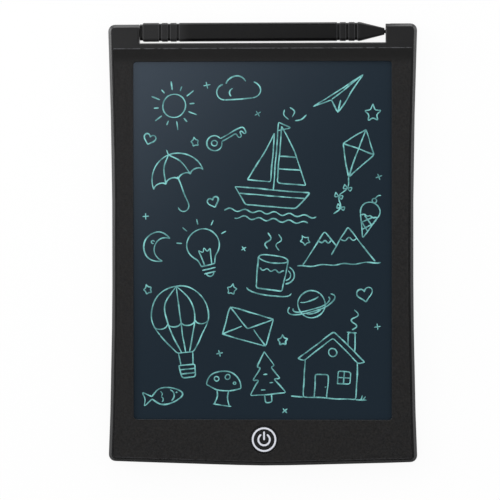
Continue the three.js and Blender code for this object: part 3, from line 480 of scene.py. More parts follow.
panel = bmesh.new()
_, outline = loop_of(panel, [
    (-corner_x, corner_y), (corner_x, corner_y),
    (panel_top_x, panel_high.y), (-panel_top_x, panel_high.y),
], panel_low.z)
bmesh.ops.subdivide_edges(panel, edges=[outline[0]], cuts=CHIN_CUTS)
bmesh.ops.subdivide_edges(panel, edges=[outline[1], outline[3]], cuts=SIDE_CUTS)
for vert in panel.verts:
    if abs(vert.co.y - corner_y) < MERGE:
        vert.co.y = chin_y(vert.co.x) + PANEL_INSET
    elif vert.co.y < panel_high.y - MERGE:
        vert.co.x = math.copysign(side_x(vert.co.y) - PANEL_INSET, vert.co.x)
corners = [v for v in panel.verts
           if (abs(abs(v.co.x) - corner_x) < MERGE * 10 and v.co.y < 0) or v.co.y > panel_high.y - MERGE]
round_off(panel, corners, PANEL_CORNER, CORNER_STEPS, affect="VERTICES")

window_x = film_high.x - SHEET_BORDER
window_y = (film_low.y + SHEET_BORDER, film_high.y - SHEET_BORDER)
window, _ = loop_of(panel, [
    (-window_x, window_y[0]), (window_x, window_y[0]),
    (window_x, window_y[1]), (-window_x, window_y[1]),
], panel_low.z)
round_off(panel, window, WINDOW_CORNER, CORNER_STEPS, affect="VERTICES")
bmesh.ops.create_circle(
    panel, segments=HOLE_STEPS, radius=BUTTON_RADIUS + BUTTON_GAP,
    matrix=Matrix.Translation((button_at.x, button_at.y, panel_low.z)))
bmesh.ops.triangle_fill(panel, use_beauty=True, use_dissolve=False, edges=panel.edges)
extruded(panel, panel.faces[:], (0, 0, panel_high.z - panel_low.z))
bmesh.ops.recalc_face_normals(panel, faces=panel.faces)
round_off(panel, sharp_edges(panel, panel_high.z), PANEL_EDGE, 3, clamp=False)
flat = [f for f in panel.faces if all(abs(v.co.z - panel_high.z) < MERGE for v in f.verts)]
border = bmesh.ops.inset_region(panel, faces=flat, thickness=BORDER_LINE, use_even_offset=True)["faces"]
inner = [f for f in flat if f not in border]
bmesh.ops.inset_region(panel, faces=inner, thickness=BORDER_END, use_even_offset=True)
print(len(border), "faces in the panel's border,", len(inner), "inside it")

# The border's values: painted highlight along the top and below the window, fainter dashes at the bottom,
# painted shadow at the sides
RIM_TOP_HIGHLIGHT, RIM_WINDOW_HIGHLIGHT, RIM_BOTTOM, RIM_SIDE_SHADOW = 1.0, 0.5, 0.25, -1.0
BORDER = PANEL_EDGE + BORDER_LINE + BORDER_END / 2
rim = panel.verts.layers.float.new(RIM)
for vert in panel.verts:
    x, y = abs(vert.co.x), vert.co.y
    if y > panel_high.y - BORDER:
        vert[rim] = RIM_TOP_HIGHLIGHT
    elif y < chin_y(vert.co.x) + PANEL_INSET + BORDER:
        vert[rim] = RIM_BOTTOM
    elif x > side_x(y) - PANEL_INSET - BORDER:
        vert[rim] = RIM_SIDE_SHADOW
    elif x < window_x - WINDOW_CORNER + MERGE and window_y[0] - BORDER < y < window_y[0] + MERGE:
        vert[rim] = RIM_WINDOW_HIGHLIGHT
finish(panel, "front_panel", panel_sheet, "casing", ["bezel_overlay"])

# %% [markdown]
# The erase button is a turned shape: a flat cap with a softly rounded rim, hollow from behind,
# with a boss in the middle that presses the switch and a flange that keeps the button from
# falling out. A spin of its half profile makes it. The ends of a spun profile on the axis fall
# together, so they are merged afterwards, and a spin can turn a shape inside out, so its faces
# are turned outwards before their edges are asked for.

# %% Erase button
BUTTON_SINK = 0.03 * MM
SPIN_STEPS = 96


def spun(profile, centre, steps=SPIN_STEPS):
    """A closed body turned about Z through a centre, from (radius, height) pairs."""
    bm = bmesh.new()
    verts = [bm.verts.new((centre.x + r, centre.y, z)) for r, z in profile]
    edges = [bm.edges.new(pair) for pair in zip(verts, verts[1:])]
    bmesh.ops.spin(bm, geom=verts + edges, cent=(centre.x, centre.y, 0), axis=(0, 0, 1),
                   angle=2 * math.pi, steps=steps, use_merge=True)
    bmesh.ops.remove_doubles(bm, verts=bm.verts, dist=MERGE)
    bmesh.ops.recalc_face_normals(bm, faces=bm.faces)
    return bm


CAP_WALL = 1.0 * MM
CAP_EDGE = 0.3 * MM
FLANGE_TOP = 3.95 * MM
FLANGE_LOW = 3.5 * MM
BOSS_RADIUS = 1.1 * MM
cap_top = button_high.z - BUTTON_SINK
inner_radius, inner_top = BUTTON_RADIUS - CAP_WALL, cap_top - CAP_WALL
flange_radius = (button_high.x - button_low.x) / 2
button = spun([
    (0, button_low.z), (BOSS_RADIUS, button_low.z), (BOSS_RADIUS, inner_top), (inner_radius, inner_top),
    (inner_radius, FLANGE_LOW), (flange_radius, FLANGE_LOW), (flange_radius, FLANGE_TOP),
    (BUTTON_RADIUS, FLANGE_TOP), (BUTTON_RADIUS, cap_top), (0, cap_top),
], button_at)
round_off(button, sharp_edges(button, cap_top), CAP_EDGE, 4)
finish(button, "erase_cap", button_abs, "erase_key", ["erase_button"])

# %% [markdown]
# Lines come in two kinds here, ink and pressed crystal, but they have one shape: a thin ribbon
# with round ends that is a little higher in the middle. A curve with a round bevel makes such a
# line quickly. Its points are first spaced evenly and softened, as a hand rounds its corners. A
# line that comes back to its start is joined there, so that no notch shows. Then the curve
# becomes a mesh, and its height is pressed down to that of a film of ink.

# %% Pen lines
ARC_STEP = 9
ARC_LEAST = 8
BOW_STEPS = 8
END_WIDTH = 0.45
PRESS_LENGTH = 5


def arc(x, y, radius, start=0, turn=360, flat=1.0):
    """A part of a circle, in degrees, pressed to a share of its height."""
    steps = max(ARC_LEAST, int(abs(turn) / ARC_STEP))
    angles = [math.radians(start + turn * i / steps) for i in range(steps + 1)]
    return [Vector((x + radius * math.cos(a), y + flat * radius * math.sin(a), 0)) for a in angles]


def line(*points):
    """Straight runs from point to point."""
    return [Vector((x, y, 0)) for x, y in points]


def bow(*points):
    """A smooth line through all the points."""
    knots = line(*points)
    knots = [2 * knots[0] - knots[1], *knots, 2 * knots[-1] - knots[-2]]
    made = []
    for a, b, c, d in zip(knots, knots[1:], knots[2:], knots[3:]):
        for i in range(BOW_STEPS):
            t = i / BOW_STEPS
            made.append(0.5 * (2 * b + (c - a) * t + (2 * a - 5 * b + 4 * c - d) * t * t
                               + (3 * b - a - 3 * c + d) * t ** 3))
    return made + [knots[-2]]


def spaced(points, step):
    """The same line with its points an even step apart."""
    lengths = [(b - a).length for a, b in zip(points, points[1:])]
    count = max(2, round(sum(lengths) / step))
    made, i, done = [], 0, 0.0
    for k in range(count + 1):
        want = sum(lengths) * k / count
        while i < len(lengths) - 1 and done + lengths[i] < want:
            done += lengths[i]
            i += 1
        share = (want - done) / lengths[i] if lengths[i] else 0
        made.append(points[i].lerp(points[i + 1], min(1.0, share)))
    return made


def softened(points, times):
    """Each point moves towards its neighbours, and the ends stay."""
    for _ in range(times):
        inner = [(a + 2 * b + c) / 4 for a, b, c in zip(points, points[1:], points[2:])]
        points = [points[0], *inner, points[-1]]
    return points


def ribbon(name, strokes, width, height, z, material, body, step=0.6, soft=2, press=0.0):
    """One piece made of pen lines, whose points and width are in millimetres."""
    data = bpy.data.curves.new(name, "CURVE")
    data.dimensions = "3D"
    data.bevel_depth = width / 2
    data.bevel_resolution = 1
    data.use_fill_caps = True
    for stroke in strokes:
        points = softened(spaced(stroke, step), soft)
        closed = (points[0] - points[-1]).length < step / 10
        if closed:
            points.pop()
        spline = data.splines.new("POLY")
        spline.points.add(len(points) - 1)
        spline.use_cyclic_u = closed
        last = len(points) - 1
        for i, point in enumerate(points):
            spline.points[i].co = (*point, 1)
            reach = 1.0 if closed else min(1.0, min(i, last - i) * step / (width / 2))
            end = END_WIDTH + (1 - END_WIDTH) * math.sqrt(1 - (1 - reach) ** 2)
            spline.points[i].radius = end * (1 + press * noise.noise(point / PRESS_LENGTH))
    curve = bpy.data.objects.new(name, data)
    bpy.context.scene.collection.objects.link(curve)
    mesh = bpy.data.meshes.new_from_object(curve.evaluated_get(bpy.context.evaluated_depsgraph_get()))
    bpy.data.objects.remove(curve)
    flatten = Matrix.Diagonal((MM, MM, height / width, 1))
    mesh.transform(Matrix.Translation((0, 0, z)) @ flatten)
    bm = bmesh.new()
    bm.from_mesh(mesh)
    bpy.data.meshes.remove(mesh)
    bmesh.ops.remove_doubles(bm, verts=bm.verts, dist=MERGE / 10)
    finish(bm, name, material, body)


# %% [markdown]
# The mark on the button is the common sign for power: a ring, a broken circle and a short bar.
# It is a ribbon of white ink that rides on the button, with its sizes in millimetres.

# %% Button mark
RING_RADIUS = 5.55
SIGN_RADIUS = 2.8
SIGN_GAP = 60
BAR_FOOT = 0.25
BAR_HEAD = 4.0
INK_WIDTH = 0.86
INK_HEIGHT = 0.03
bx, by = button_at.x / MM, button_at.y / MM
sign = [
    arc(bx, by, RING_RADIUS, 90, 360),
    arc(bx, by, SIGN_RADIUS, 90 + SIGN_GAP / 2, 360 - SIGN_GAP),
    line((bx, by - BAR_FOOT), (bx, by + BAR_HEAD)),
]
ribbon("power_mark", sign, INK_WIDTH, INK_HEIGHT * MM, cap_top + INK_HEIGHT * MM / 2, white_ink,
       "erase_key", step=0.25, soft=0)

# %% [markdown]
# The stylus is black ABS with a satin surface, so its long edges draw clear lines of light. Its
# two grips are spark-textured, which greys them a little. The grey is given in full at the tail
# and in half at the nose, which is painted light, brighter at the tail, and the floors of the
# grooves keep the dark satin colour as painted shade. The edges of the rings are painted paler,
# as a painted highlight. The grain is drawn at 0.5 mm, about twice as coarse as it is. How much
# of the grips' grey and painted light and how much painted highlight a point has is written on
# the mesh, in two attributes, and the material mixes its finishes by them.

# %% Stylus finish
GRIP_AND_LIGHT = "grip_and_light"
LIP_HIGHLIGHT = "lip_highlight"


def satin_barrel():
    material, tree, shader, place = start_material("satin_abs", {"Specular IOR Level": 0.3})
    # The grips' grey, with painted light brighter at the tail and painted shade in the grooves
    grip_and_light = add_node(tree, "Attribute", attribute_name=GRIP_AND_LIGHT, output="Fac")
    fine = add_node(tree, "TexNoise", {
        "Vector": place, "Scale": 1 / (0.5 * MM), "Detail": 3.0, "Roughness": 0.6})
    speckle = add_node(tree, "MapRange", {"Value": fine, **SPREAD})
    smooth = add_node(tree, "Mix", {
        "Factor": speckle, "A": linear("0c0c0d"), "B": linear("101011")}, data_type="RGBA")
    sparked = add_node(tree, "Mix", {
        "Factor": speckle, "A": linear("232324"), "B": linear("2b2b2c")}, data_type="RGBA")
    held = add_node(tree, "Mix", {"Factor": grip_and_light, "A": smooth, "B": sparked}, data_type="RGBA")
    # Painted highlight: the edges of the rings made paler
    lip_highlight = add_node(tree, "Attribute", attribute_name=LIP_HIGHLIGHT, output="Fac")
    colour = add_node(tree, "Mix", {"Factor": lip_highlight, "A": held, "B": linear("464648")}, data_type="RGBA")
    rough = add_node(tree, "MapRange", {"Value": grip_and_light, "To Min": 0.3, "To Max": 0.42})
    bump = add_node(tree, "Bump", {"Height": fine, "Distance": 0.006 * MM, "Strength": 1.0})
    feed(tree, shader, {"Base Color": colour, "Roughness": rough, "Normal": bump})
    return material


# %% [markdown]
# The stylus's barrel is a flat bar with rounded long edges. Its grip rings are grooves, three
# near each end, and its front runs to a narrow tip. The shape changes only in steps along its
# length, so it is drawn as a section that is extruded from station to station, and scaled at
# each one. An extrusion leaves its old end face inside the bar, so that face is deleted. The lips
# of the grooves are rounded by close stations, which is what catches the light as thin lines.

# %% Stylus barrel
barrel_low, barrel_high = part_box("stylus_barrel")
barrel_size = barrel_high - barrel_low
barrel_middle = (barrel_low + barrel_high) / 2
LONG_EDGE = 1.4 * MM
GROOVE_WIDTH = 1.4 * MM
GROOVE_DEPTH = 0.3 * MM
GROOVE_PITCH = 4.3 * MM
GROOVES = 3
LIP = 0.2 * MM
LIP_START = 0.3
GRIP_FADE = 5 * MM
# The grips' grey in full at the tail and in half at the nose: painted light, brighter at the tail
TAIL_GRIP_AND_LIGHT = 1.0
NOSE_GRIP_AND_LIGHT = 0.5
TAIL_BAND = 7.9 * MM
NOSE_BAND = 1.3 * MM
CONE_LENGTH = 11.8 * MM
CONE_TIP = 3.3 * MM
TIP_END = 0.92
TAIL_CHAMFER = 0.5 * MM
TAIL_SHRINK = 0.4 * MM
TAIL_HALFWAY = (0.3, 0.4)


def drawn_in(amount):
    """The shares of the section's width and thickness that are left when it shrinks all round."""
    return 1 - 2 * amount / barrel_size.y, 1 - 2 * amount / barrel_size.z


cone_x = barrel_high.x - CONE_LENGTH
groove_starts = [barrel_low.x + TAIL_BAND + i * GROOVE_PITCH for i in range(GROOVES)]
groove_starts += [cone_x - NOSE_BAND - GROOVE_WIDTH - i * GROOVE_PITCH for i in reversed(range(GROOVES))]
smooth_from = groove_starts[GROOVES - 1] + GROOVE_WIDTH + GRIP_FADE
smooth_to = groove_starts[GROOVES] - LIP * 2


def ring(x, band):
    """The stations of one groove between bands of a given grip."""
    far = x + GROOVE_WIDTH
    near = LIP * LIP_START
    # A groove's floor gets none of the grips' grey, as painted shade, and its edges get the painted
    # highlight
    return [
        (x - LIP, drawn_in(0), band, 0), (x - near, drawn_in(near), band, 1),
        (x, drawn_in(LIP), band, 1), (x + LIP / 2, drawn_in(GROOVE_DEPTH), 0, 0),
        (far - LIP / 2, drawn_in(GROOVE_DEPTH), 0, 0), (far, drawn_in(LIP), band, 1),
        (far + near, drawn_in(near), band, 1), (far + LIP, drawn_in(0), band, 0),
    ]


# Each station: its place, the shares of the section that are left, how much of the grips' grey and painted
# light, and how much painted highlight
half_x, half_in = TAIL_HALFWAY
tip = (CONE_TIP / barrel_size.y, CONE_TIP / barrel_size.z)
stations = [
    (barrel_low.x, drawn_in(TAIL_SHRINK), TAIL_GRIP_AND_LIGHT, 0),
    (barrel_low.x + TAIL_CHAMFER * half_x, drawn_in(TAIL_SHRINK * half_in), TAIL_GRIP_AND_LIGHT, 0),
    (barrel_low.x + TAIL_CHAMFER, drawn_in(0), TAIL_GRIP_AND_LIGHT, 0),
    *[station for x in groove_starts[:GROOVES] for station in ring(x, TAIL_GRIP_AND_LIGHT)],
    (smooth_from, drawn_in(0), 0, 0),
    (smooth_to, drawn_in(0), 0, 0),
    *[station for x in groove_starts[GROOVES:] for station in ring(x, NOSE_GRIP_AND_LIGHT)],
    (cone_x, drawn_in(0), NOSE_GRIP_AND_LIGHT, 0),
    (barrel_high.x - LIP, tip, NOSE_GRIP_AND_LIGHT, 0),
    (barrel_high.x, (tip[0] * TIP_END, tip[1] * TIP_END), NOSE_GRIP_AND_LIGHT, 0),
]

Z_TO_X = Matrix.Rotation(math.radians(90), 4, "Y")
barrel = bmesh.new()
grip_and_light = barrel.verts.layers.float.new(GRIP_AND_LIGHT)
lip_highlight = barrel.verts.layers.float.new(LIP_HIGHLIGHT)
bmesh.ops.create_grid(barrel, x_segments=1, y_segments=1, size=0.5)
bmesh.ops.transform(barrel, verts=barrel.verts, matrix=Z_TO_X)
bmesh.ops.scale(barrel, verts=barrel.verts, vec=(1, barrel_size.y, barrel_size.z))
round_off(barrel, barrel.verts[:], LONG_EDGE, 6, affect="VERTICES")
bmesh.ops.translate(barrel, verts=barrel.verts, vec=(stations[0][0], barrel_middle.y, barrel_middle.z))
about_axis = Matrix.Translation((0, -barrel_middle.y, -barrel_middle.z))
bmesh.ops.scale(barrel, verts=barrel.verts, vec=(1, *stations[0][1]), space=about_axis)
for vert in barrel.verts:
    vert[grip_and_light] = TAIL_GRIP_AND_LIGHT
end_face = tail_face = barrel.faces[:]
for (x0, (y0, z0), _, _), (x1, (y1, z1), grip_and_light_share, lip_highlight_share) in zip(stations, stations[1:]):
    verts, next_face = extruded(barrel, end_face, (x1 - x0, 0, 0))
    if end_face is not tail_face:
        bmesh.ops.delete(barrel, geom=end_face, context="FACES_ONLY")
    end_face = next_face
    bmesh.ops.scale(barrel, verts=verts, vec=(1, y1 / y0, z1 / z0), space=about_axis)
    for vert in verts:
        vert[grip_and_light] = grip_and_light_share
        vert[lip_highlight] = lip_highlight_share
print(len(stations), "stations along the barrel")
finish(barrel, "stylus_body", satin_barrel(), "stylus", ["stylus_barrel"])

# %% [markdown]
# The nib is a short turned pin of acetal with a blunt, round tip, and the plug at the other end
# is a plain tongue of the same plastic. The solid's nib has few sides, so it is spun again in
# finer steps, upright at first and then laid along the barrel. The plug is a copy of its solid.

# %% Nib and end plug
nib_low, nib_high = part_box("stylus_nib")
NIB_RADIUS = 0.9 * MM
NIB_STEM = 0.6 * MM
NIB_GAP = 0.05 * MM
NIB_STEPS = 40
# The tip's rounding: shares of its radius and of its length
NIB_ROUND = [(1.0, 0.62), (0.9, 0.76), (0.7, 0.88), (0.4, 0.96)]
collar_x = barrel_high.x + NIB_GAP
nib_reach = nib_high.x - collar_x
nib = spun([
    (0, nib_low.x), (NIB_STEM, nib_low.x), (NIB_STEM, collar_x), (NIB_RADIUS, collar_x),
    *[(NIB_RADIUS * radius, collar_x + nib_reach * along) for radius, along in NIB_ROUND],
    (0, nib_high.x),
], Vector((0, 0, 0)), NIB_STEPS)
laid_down = Matrix.Translation((0, barrel_middle.y, barrel_middle.z)) @ Z_TO_X
bmesh.ops.transform(nib, verts=nib.verts, matrix=laid_down)
finish(nib, "nib_tip", nib_acetal, "stylus", ["stylus_nib"])

plug = merged_copy("stylus_end_plug")
finish(plug, "stylus_tail", nib_acetal, "stylus", ["stylus_end_plug"])

# %% [markdown]
# The lock slider stops the screen from being cleared by accident. Its knob lies in a recess of
# the back, with ribs for a fingertip across its travel. Small printed locks beside it say which
# way is which.

# %% Lock slider and its marks
KNOB_EDGE = 0.06 * MM
slider_low, slider_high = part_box("lock_slider")
slider = merged_copy("lock_slider")
round_off(slider, sharp_edges(slider, slider_low.z), KNOB_EDGE, 2)
finish(slider, "lock_knob", button_abs, "lock", ["lock_slider"])

MARK_HEIGHT = 0.02
MARK_WIDTH = 0.3
OPEN_MARK_GAP = 3.2
SHUT_MARK_GAP = 5.2
SHACKLE_LIFT = 0.9
mark_y = (slider_low.y + slider_high.y) / 2 / MM
mark_z = MARK_HEIGHT * MM / 2


def padlock(x, y, lift):
    """A small lock in outline about a place, with its shackle closed or lifted."""
    body = line((-1.2, -1.4), (1.2, -1.4), (1.2, 0.3), (-1.2, 0.3), (-1.2, -1.4))
    shackle = (line((-0.8, 0.3), (-0.8, 0.8 + lift)) + arc(0, 0.8 + lift, 0.8, 180, -180)
               + line((0.8, 0.8 + lift), (0.8, 0.3 + lift)))
    return [[point + Vector((x, y, 0)) for point in stroke] for stroke in (body, shackle)]


marks = padlock(slider_low.x / MM - OPEN_MARK_GAP, mark_y, SHACKLE_LIFT)
marks += padlock(slider_high.x / MM + SHUT_MARK_GAP, mark_y, 0)
ribbon("lock_marks", marks, MARK_WIDTH, MARK_HEIGHT * MM, mark_z, grey_ink,
       "casing", step=0.15, soft=1)

# %% [markdown]
# A screen with nothing on it would hide what the tablet is for, so somebody has been doodling.
# Each doodle is a function that returns a few strokes about its own middle, in millimetres.
# They are placed on the screen at listed places, turned a little, and shaken by a soft noise, so
# that no line is ruler-straight. A curve object could carry text or an imported drawing as well,
# but lists of points can be shaken and softened like a hand's.

# %% Doodles of the sky
def star(radius, points=5, inner=0.42):
    """A star in one stroke, with its inner corners at a share of its radius."""
    angles = [math.radians(90 + 180 * i / points) for i in range(2 * points + 1)]
    reach = [radius if i % 2 == 0 else radius * inner for i in range(2 * points + 1)]
    return [[Vector((r * math.cos(a), r * math.sin(a), 0)) for r, a in zip(reach, angles)]]


def ray(x, y, degrees, near, far):
    """A short line that points away from a middle."""
    way = Vector((math.cos(math.radians(degrees)), math.sin(math.radians(degrees)), 0))
    return [Vector((x, y, 0)) + near * way, Vector((x, y, 0)) + far * way]


def sun():
    rays = [ray(0, 0, 30 * i + 8, 7.6, 12 if i % 2 else 10) for i in range(12)]
    return [arc(0, 0, 5.6, 80, 375), *rays]


def cloud():
    return [arc(-7.5, 0, 3.8, 95, 175), arc(-1.5, 2.4, 5.2, 22, 140), arc(6.2, 0.2, 4, -92, 168),
            line((-7.4, -3.8), (6, -3.8)), arc(-3, -0.6, 2.2, 100, 130)]


def moon():
    return [arc(0, 0, 8, 55, 250), arc(4.59, 0, 6.55, 90, 180), arc(-3.6, 1.4, 1.1, 20, 300)]


def planet():
    return [arc(0, 0, 7, 28, 365), arc(0, 0, 13, 148, 244, 0.3), arc(0, 0, 10.2, 160, 220, 0.28),
            arc(0, 3.6, 5.6, 205, 120, 0.35), arc(0, -2.4, 5, 215, 105, 0.5)]


def balloon():
    return [
        arc(0, 10, 14, -38, 256), line((11.1, 1.4), (4, -9), (-4, -9), (-11.1, 1.4)),
        line((0, 24), (0, -9)), bow((0, 24), (6.4, 16), (6.6, 6), (2, -9)),
        bow((0, 24), (-6.4, 16), (-6.6, 6), (-2, -9)),
        *[arc(-10.2 + 6.8 * i, 6.2, 3.4, 180, 180, 0.6) for i in range(4)],
        line((-3.6, -9), (-3, -15)), line((3.6, -9), (3, -15)),
        line((-4, -15), (-3.2, -21), (3.2, -21), (4, -15), (-4, -15)),
        line((-3.8, -17), (3.8, -17)), line((-3.4, -19), (3.4, -19)),
    ]


def kite():
    knots = [(1.4, -17), (-1.2, -22), (1.6, -27)]
    bows = [line((x - 2, y + 1.3), (x - 2, y - 1.3), (x + 2, y + 1.3), (x + 2, y - 1.3), (x - 2, y + 1.3))
            for x, y in knots]
    return [line((0, 13), (8, 3), (0, -12), (-8, 3), (0, 13)), line((0, 13), (0, -12)),
            line((-8, 3), (8, 3)), bow((0, -12), *knots, (-0.6, -31)), *bows]


def paper_plane():
    trail = [bow((-17, -6), (-20, -8), (-23, -8)), bow((-26, -6.6), (-28, -4), (-27, -1.6)),
             bow((-24, -1), (-22, -3.4), (-24, -6))]
    return [line((-13, -3), (14, 7), (-2, -8.4), (-3.6, -1.6), (-13, -3)),
            line((-3.6, -1.6), (14, 7)), line((-2, -8.4), (0.6, -2.6)), *trail]


# %% Doodles of the land and the sea
def waved(x0, x1, y, height, length, steps=40):
    """A wavy line at a height, with its waves' height and length."""
    xs = [x0 + (x1 - x0) * i / steps for i in range(steps + 1)]
    return [Vector((x, y + height * math.sin(2 * math.pi * x / length), 0)) for x in xs]


def sailboat():
    return [
        line((-20, -10), (-14, -19), (13, -19), (20, -10), (-20, -10)),
        line((-17.6, -13.2), (17.8, -13.2)), line((0, -10), (0, 26)),
        bow((1.8, 24), (9, 12), (13.4, 3), (17, -6)), line((17, -6), (1.8, -6), (1.8, 24)),
        line((1.8, 8), (11, 8)), line((1.8, 1.5), (14.2, 1.5)), bow((-1.8, 20), (-7, 8), (-14, -6)),
        line((-14, -6), (-1.8, -6), (-1.8, 20)), line((0, 26), (7, 23.6), (0, 21.4)),
        waved(-25, 24, -22.4, 0.9, 8), waved(-19, 20, -26, 0.9, 8),
    ]


def house():
    smoke = bow((10, 21.5), (13, 24), (9, 27), (13.4, 30), (10.6, 33))
    return [
        line((-15, 4), (-15, -17), (14, -17), (14, 4)), line((-19, 4), (0, 20), (18, 4)),
        line((-19, 4), (-15.6, 3), (-0.2, 16.4), (14.6, 3), (18, 4)),
        line((-9, -17), (-9, -4), (-2, -4), (-2, -17)),
        arc(-3.4, -11, 0.45), line((3.4, -8.6), (3.4, -1.6), (10.4, -1.6), (10.4, -8.6), (3.4, -8.6)),
        line((6.9, -8.6), (6.9, -1.6)), line((3.4, -5.1), (10.4, -5.1)), arc(0, 8.4, 2.4),
        line((8, 13), (8, 20), (12, 20), (12, 9.6)), line((7.2, 20), (12.8, 20)), smoke,
        line((-22, -17), (-15, -17)), line((14, -17), (20, -17)), line((17, -17), (17.6, -14.4)),
        line((18, -17), (19.4, -15)),
    ]


def fir():
    return [line((0, 14), (-5, 6), (-2.6, 6), (-7.6, -1), (-4, -1), (-10, -9), (10, -9), (4, -1), (7.6, -1),
                 (2.6, 6), (5, 6), (0, 14)),
            line((-1.8, -9), (-1.8, -13.4), (1.8, -13.4), (1.8, -9)), line((-3.4, -6.4), (-1, -6.4)),
            line((1.4, -3), (3.4, -3)), line((-1.6, 2), (0.6, 2))]


def mountains():
    return [line((-20, -8), (-7, 10), (-0.6, 1.6)), line((-4, -3), (6, 12), (20, -8)),
            waved(-23, 23, -8.6, 0.4, 12),
            line((-10.6, 5), (-8.6, 3.4), (-7, 5.6), (-5.4, 3), (-3.4, 5.2)),
            line((1.4, 5.2), (4.2, 3.8), (6.2, 6.6), (8.4, 3.6), (10.8, 5.4))]


def mushroom():
    return [arc(0, 0, 9, -4, 188, 0.86), bow((-9, -0.4), (-4, -2.2), (0, -2.6), (4, -2.2), (9, -0.4)),
            bow((-3, -2.4), (-2.4, -6), (-3.8, -10)), bow((3, -2.4), (2.6, -6), (4, -10)),
            line((-4.4, -10), (5, -10)), arc(-4, 3.2, 1.4, 0, 380), arc(1.6, 4.8, 1.5, 90, 380),
            arc(5.6, 1.8, 0.9, 0, 380)]


def fish():
    return [bow((-8, 0.6), (-3, 4.4), (3.4, 4), (9, 0), (3.4, -4), (-3, -4.4), (-8, -0.6)),
            line((-8, 0.6), (-13, 4), (-11.6, 0), (-13, -4), (-8, -0.6)), arc(5.4, 1.1, 0.5),
            arc(0.6, 0, 3.6, -60, 120), arc(-3.4, 1.4, 1.5, -70, 140), arc(-3.4, -1.6, 1.5, -70, 140)]


# %% Doodles of the desk
def umbrella():
    scallops = [arc(-9.75 + 6.5 * i, 0, 3.25, 180, -180, 0.55) for i in range(4)]
    return [arc(0, 0, 13, 0, 180), *scallops, bow((0, 13), (-4.4, 8), (-6.5, 0)),
            bow((0, 13), (4.4, 8), (6.5, 0)), line((0, 13), (0, 15.6)),
            line((0, 1.4), (0, -13)) + arc(-2.6, -13, 2.6, 0, -190)]


def mug():
    return [line((-8, 7), (-7.2, -8), (5.8, -8), (6.8, 7)), arc(-0.6, 7, 7.4, 0, 370, 0.26),
            arc(6.4, 0, 4.4, -82, 156), arc(6.4, 0, 2.6, -80, 150), arc(-0.6, -8.6, 11, 176, 188, 0.22),
            bow((-4, 11.5), (-6, 14), (-3, 16.5), (-5, 19.4)),
            bow((1.6, 11.5), (-0.6, 14), (2.4, 16.5), (0.4, 19.4)), waved(-6.6, 5.4, 1.4, 0.8, 4)]


def bulb():
    rays = [ray(0, 4, 18 + 36 * i, 10.4, 13.2) for i in range(5)]
    return [line((3.4, -6)) + line((4.6, -2.6)) + arc(0, 4, 8, -55, 290) + line((-3.4, -6)),
            line((-3.6, -6), (3.6, -6)), line((-3.4, -8), (3.4, -8)), line((-3, -10), (3, -10)),
            arc(0, -10, 2, 180, 180), line((-1.8, -6), (-3, 2), (-1, 0), (0, 3), (1, 0), (3, 2), (1.8, -6)),
            *rays]


def letter_card():
    return [line((-11, -7), (11, -7), (11, 7), (-11, 7), (-11, -7)), line((-11, 7), (0, -1.2), (11, 7)),
            line((-11, -7), (-3, -0.6)), line((11, -7), (3, -0.6))]


def key():
    return [arc(-8, 0, 4.2, 14, 332), arc(-8, 0, 1.7),
            line((-3.9, 0.9), (10, 0.9), (10, -3.2), (8.4, -3.2), (8.4, -0.9), (7, -0.9), (7, -4), (5, -4),
                 (5, -0.9), (-3.9, -0.9))]


def heart(size, steps=48):
    """A closed heart as wide as its size."""
    turns = [2 * math.pi * i / steps for i in range(steps + 1)]
    return [[size / 32 * Vector((16 * math.sin(t) ** 3, 13 * math.cos(t) - 5 * math.cos(2 * t)
                                 - 2 * math.cos(3 * t) - math.cos(4 * t), 0)) for t in turns]]


def ice_cream():
    return [line((-5.4, 0), (0.2, -15), (5.4, 0)), arc(0, 3, 6.2, -28, 236),
            waved(-5.6, 5.6, -0.2, 0.8, 3.7), line((-3.4, -5.4), (2.6, -0.4)),
            line((-1.8, -9.6), (4, -4.2)), line((3.4, -5.4), (-2.6, -0.4)),
            line((1.8, -9.6), (-4, -4.2)), arc(0.6, 10.8, 1.7, -60, 380),
            bow((0.8, 12.4), (2, 14.6), (4, 15.2))]


def plus(size):
    return [line((-size, 0), (size, 0)), line((0, -size), (0, size))]


# %% [markdown]
# The list below is the page itself: what is drawn, where its middle is from the middle of the
# screen in millimetres, how far it is turned in degrees and how large it is. The line is 0.6 mm
# wide, as a blunt stylus leaves it, and a little wider where the hand pressed harder.

# %% The page
page = [
    (sun(), -43, 66, 0, 1.0), (cloud(), -11, 73, 4, 1.0), (paper_plane(), 37, 71, 12, 1.0),
    (star(4.6), 54, 62, 0, 1.0), (umbrella(), -41, 30, 22, 1.0), (sailboat(), 6, 34, -5, 0.92),
    (kite(), 46, 42, -20, 1.0), (moon(), -51, -3, -20, 0.9), (bulb(), -28, -6, 14, 1.0),
    (mug(), 5, -16, -8, 1.0), (mountains(), 37, -4, 3, 0.88), (balloon(), -39, -46, 8, 1.0),
    (letter_card(), -7, -42, -16, 1.0), (planet(), 24, -31, 18, 0.95), (heart(8), 50, -26, 12, 1.0),
    (house(), 34, -62, -3, 0.88), (fir(), 2, -67, 5, 0.9), (mushroom(), -19, -71, -6, 0.95),
    (fish(), -47, -76, 8, 0.9), (key(), -17, 51, 28, 0.9), (ice_cream(), 52, 12, -16, 0.75),
    (star(2.6), -33, 48, 12, 1.0), (star(2.8), 21, 0, 30, 1.0), (star(3.0), -15, -24, -10, 1.0),
    (star(2.6), -56, -24, 20, 1.0), (star(3.0), 10, -49, 5, 1.0), (heart(6), -55, 50, -18, 1.0),
    (heart(6), -24, 19, 20, 1.0), (plus(1.7), -27, 76, 10, 1.0), (plus(1.6), -2, 62, 30, 1.0),
    (plus(1.6), 57, 31, 20, 1.0), (plus(1.6), -57, 12, 5, 1.0), (plus(1.6), -21, -55, 15, 1.0),
    (plus(1.5), 11, -83, 40, 1.0), (plus(1.5), 56, -42, 10, 1.0), (plus(1.4), -9, -4, 35, 1.0),
]
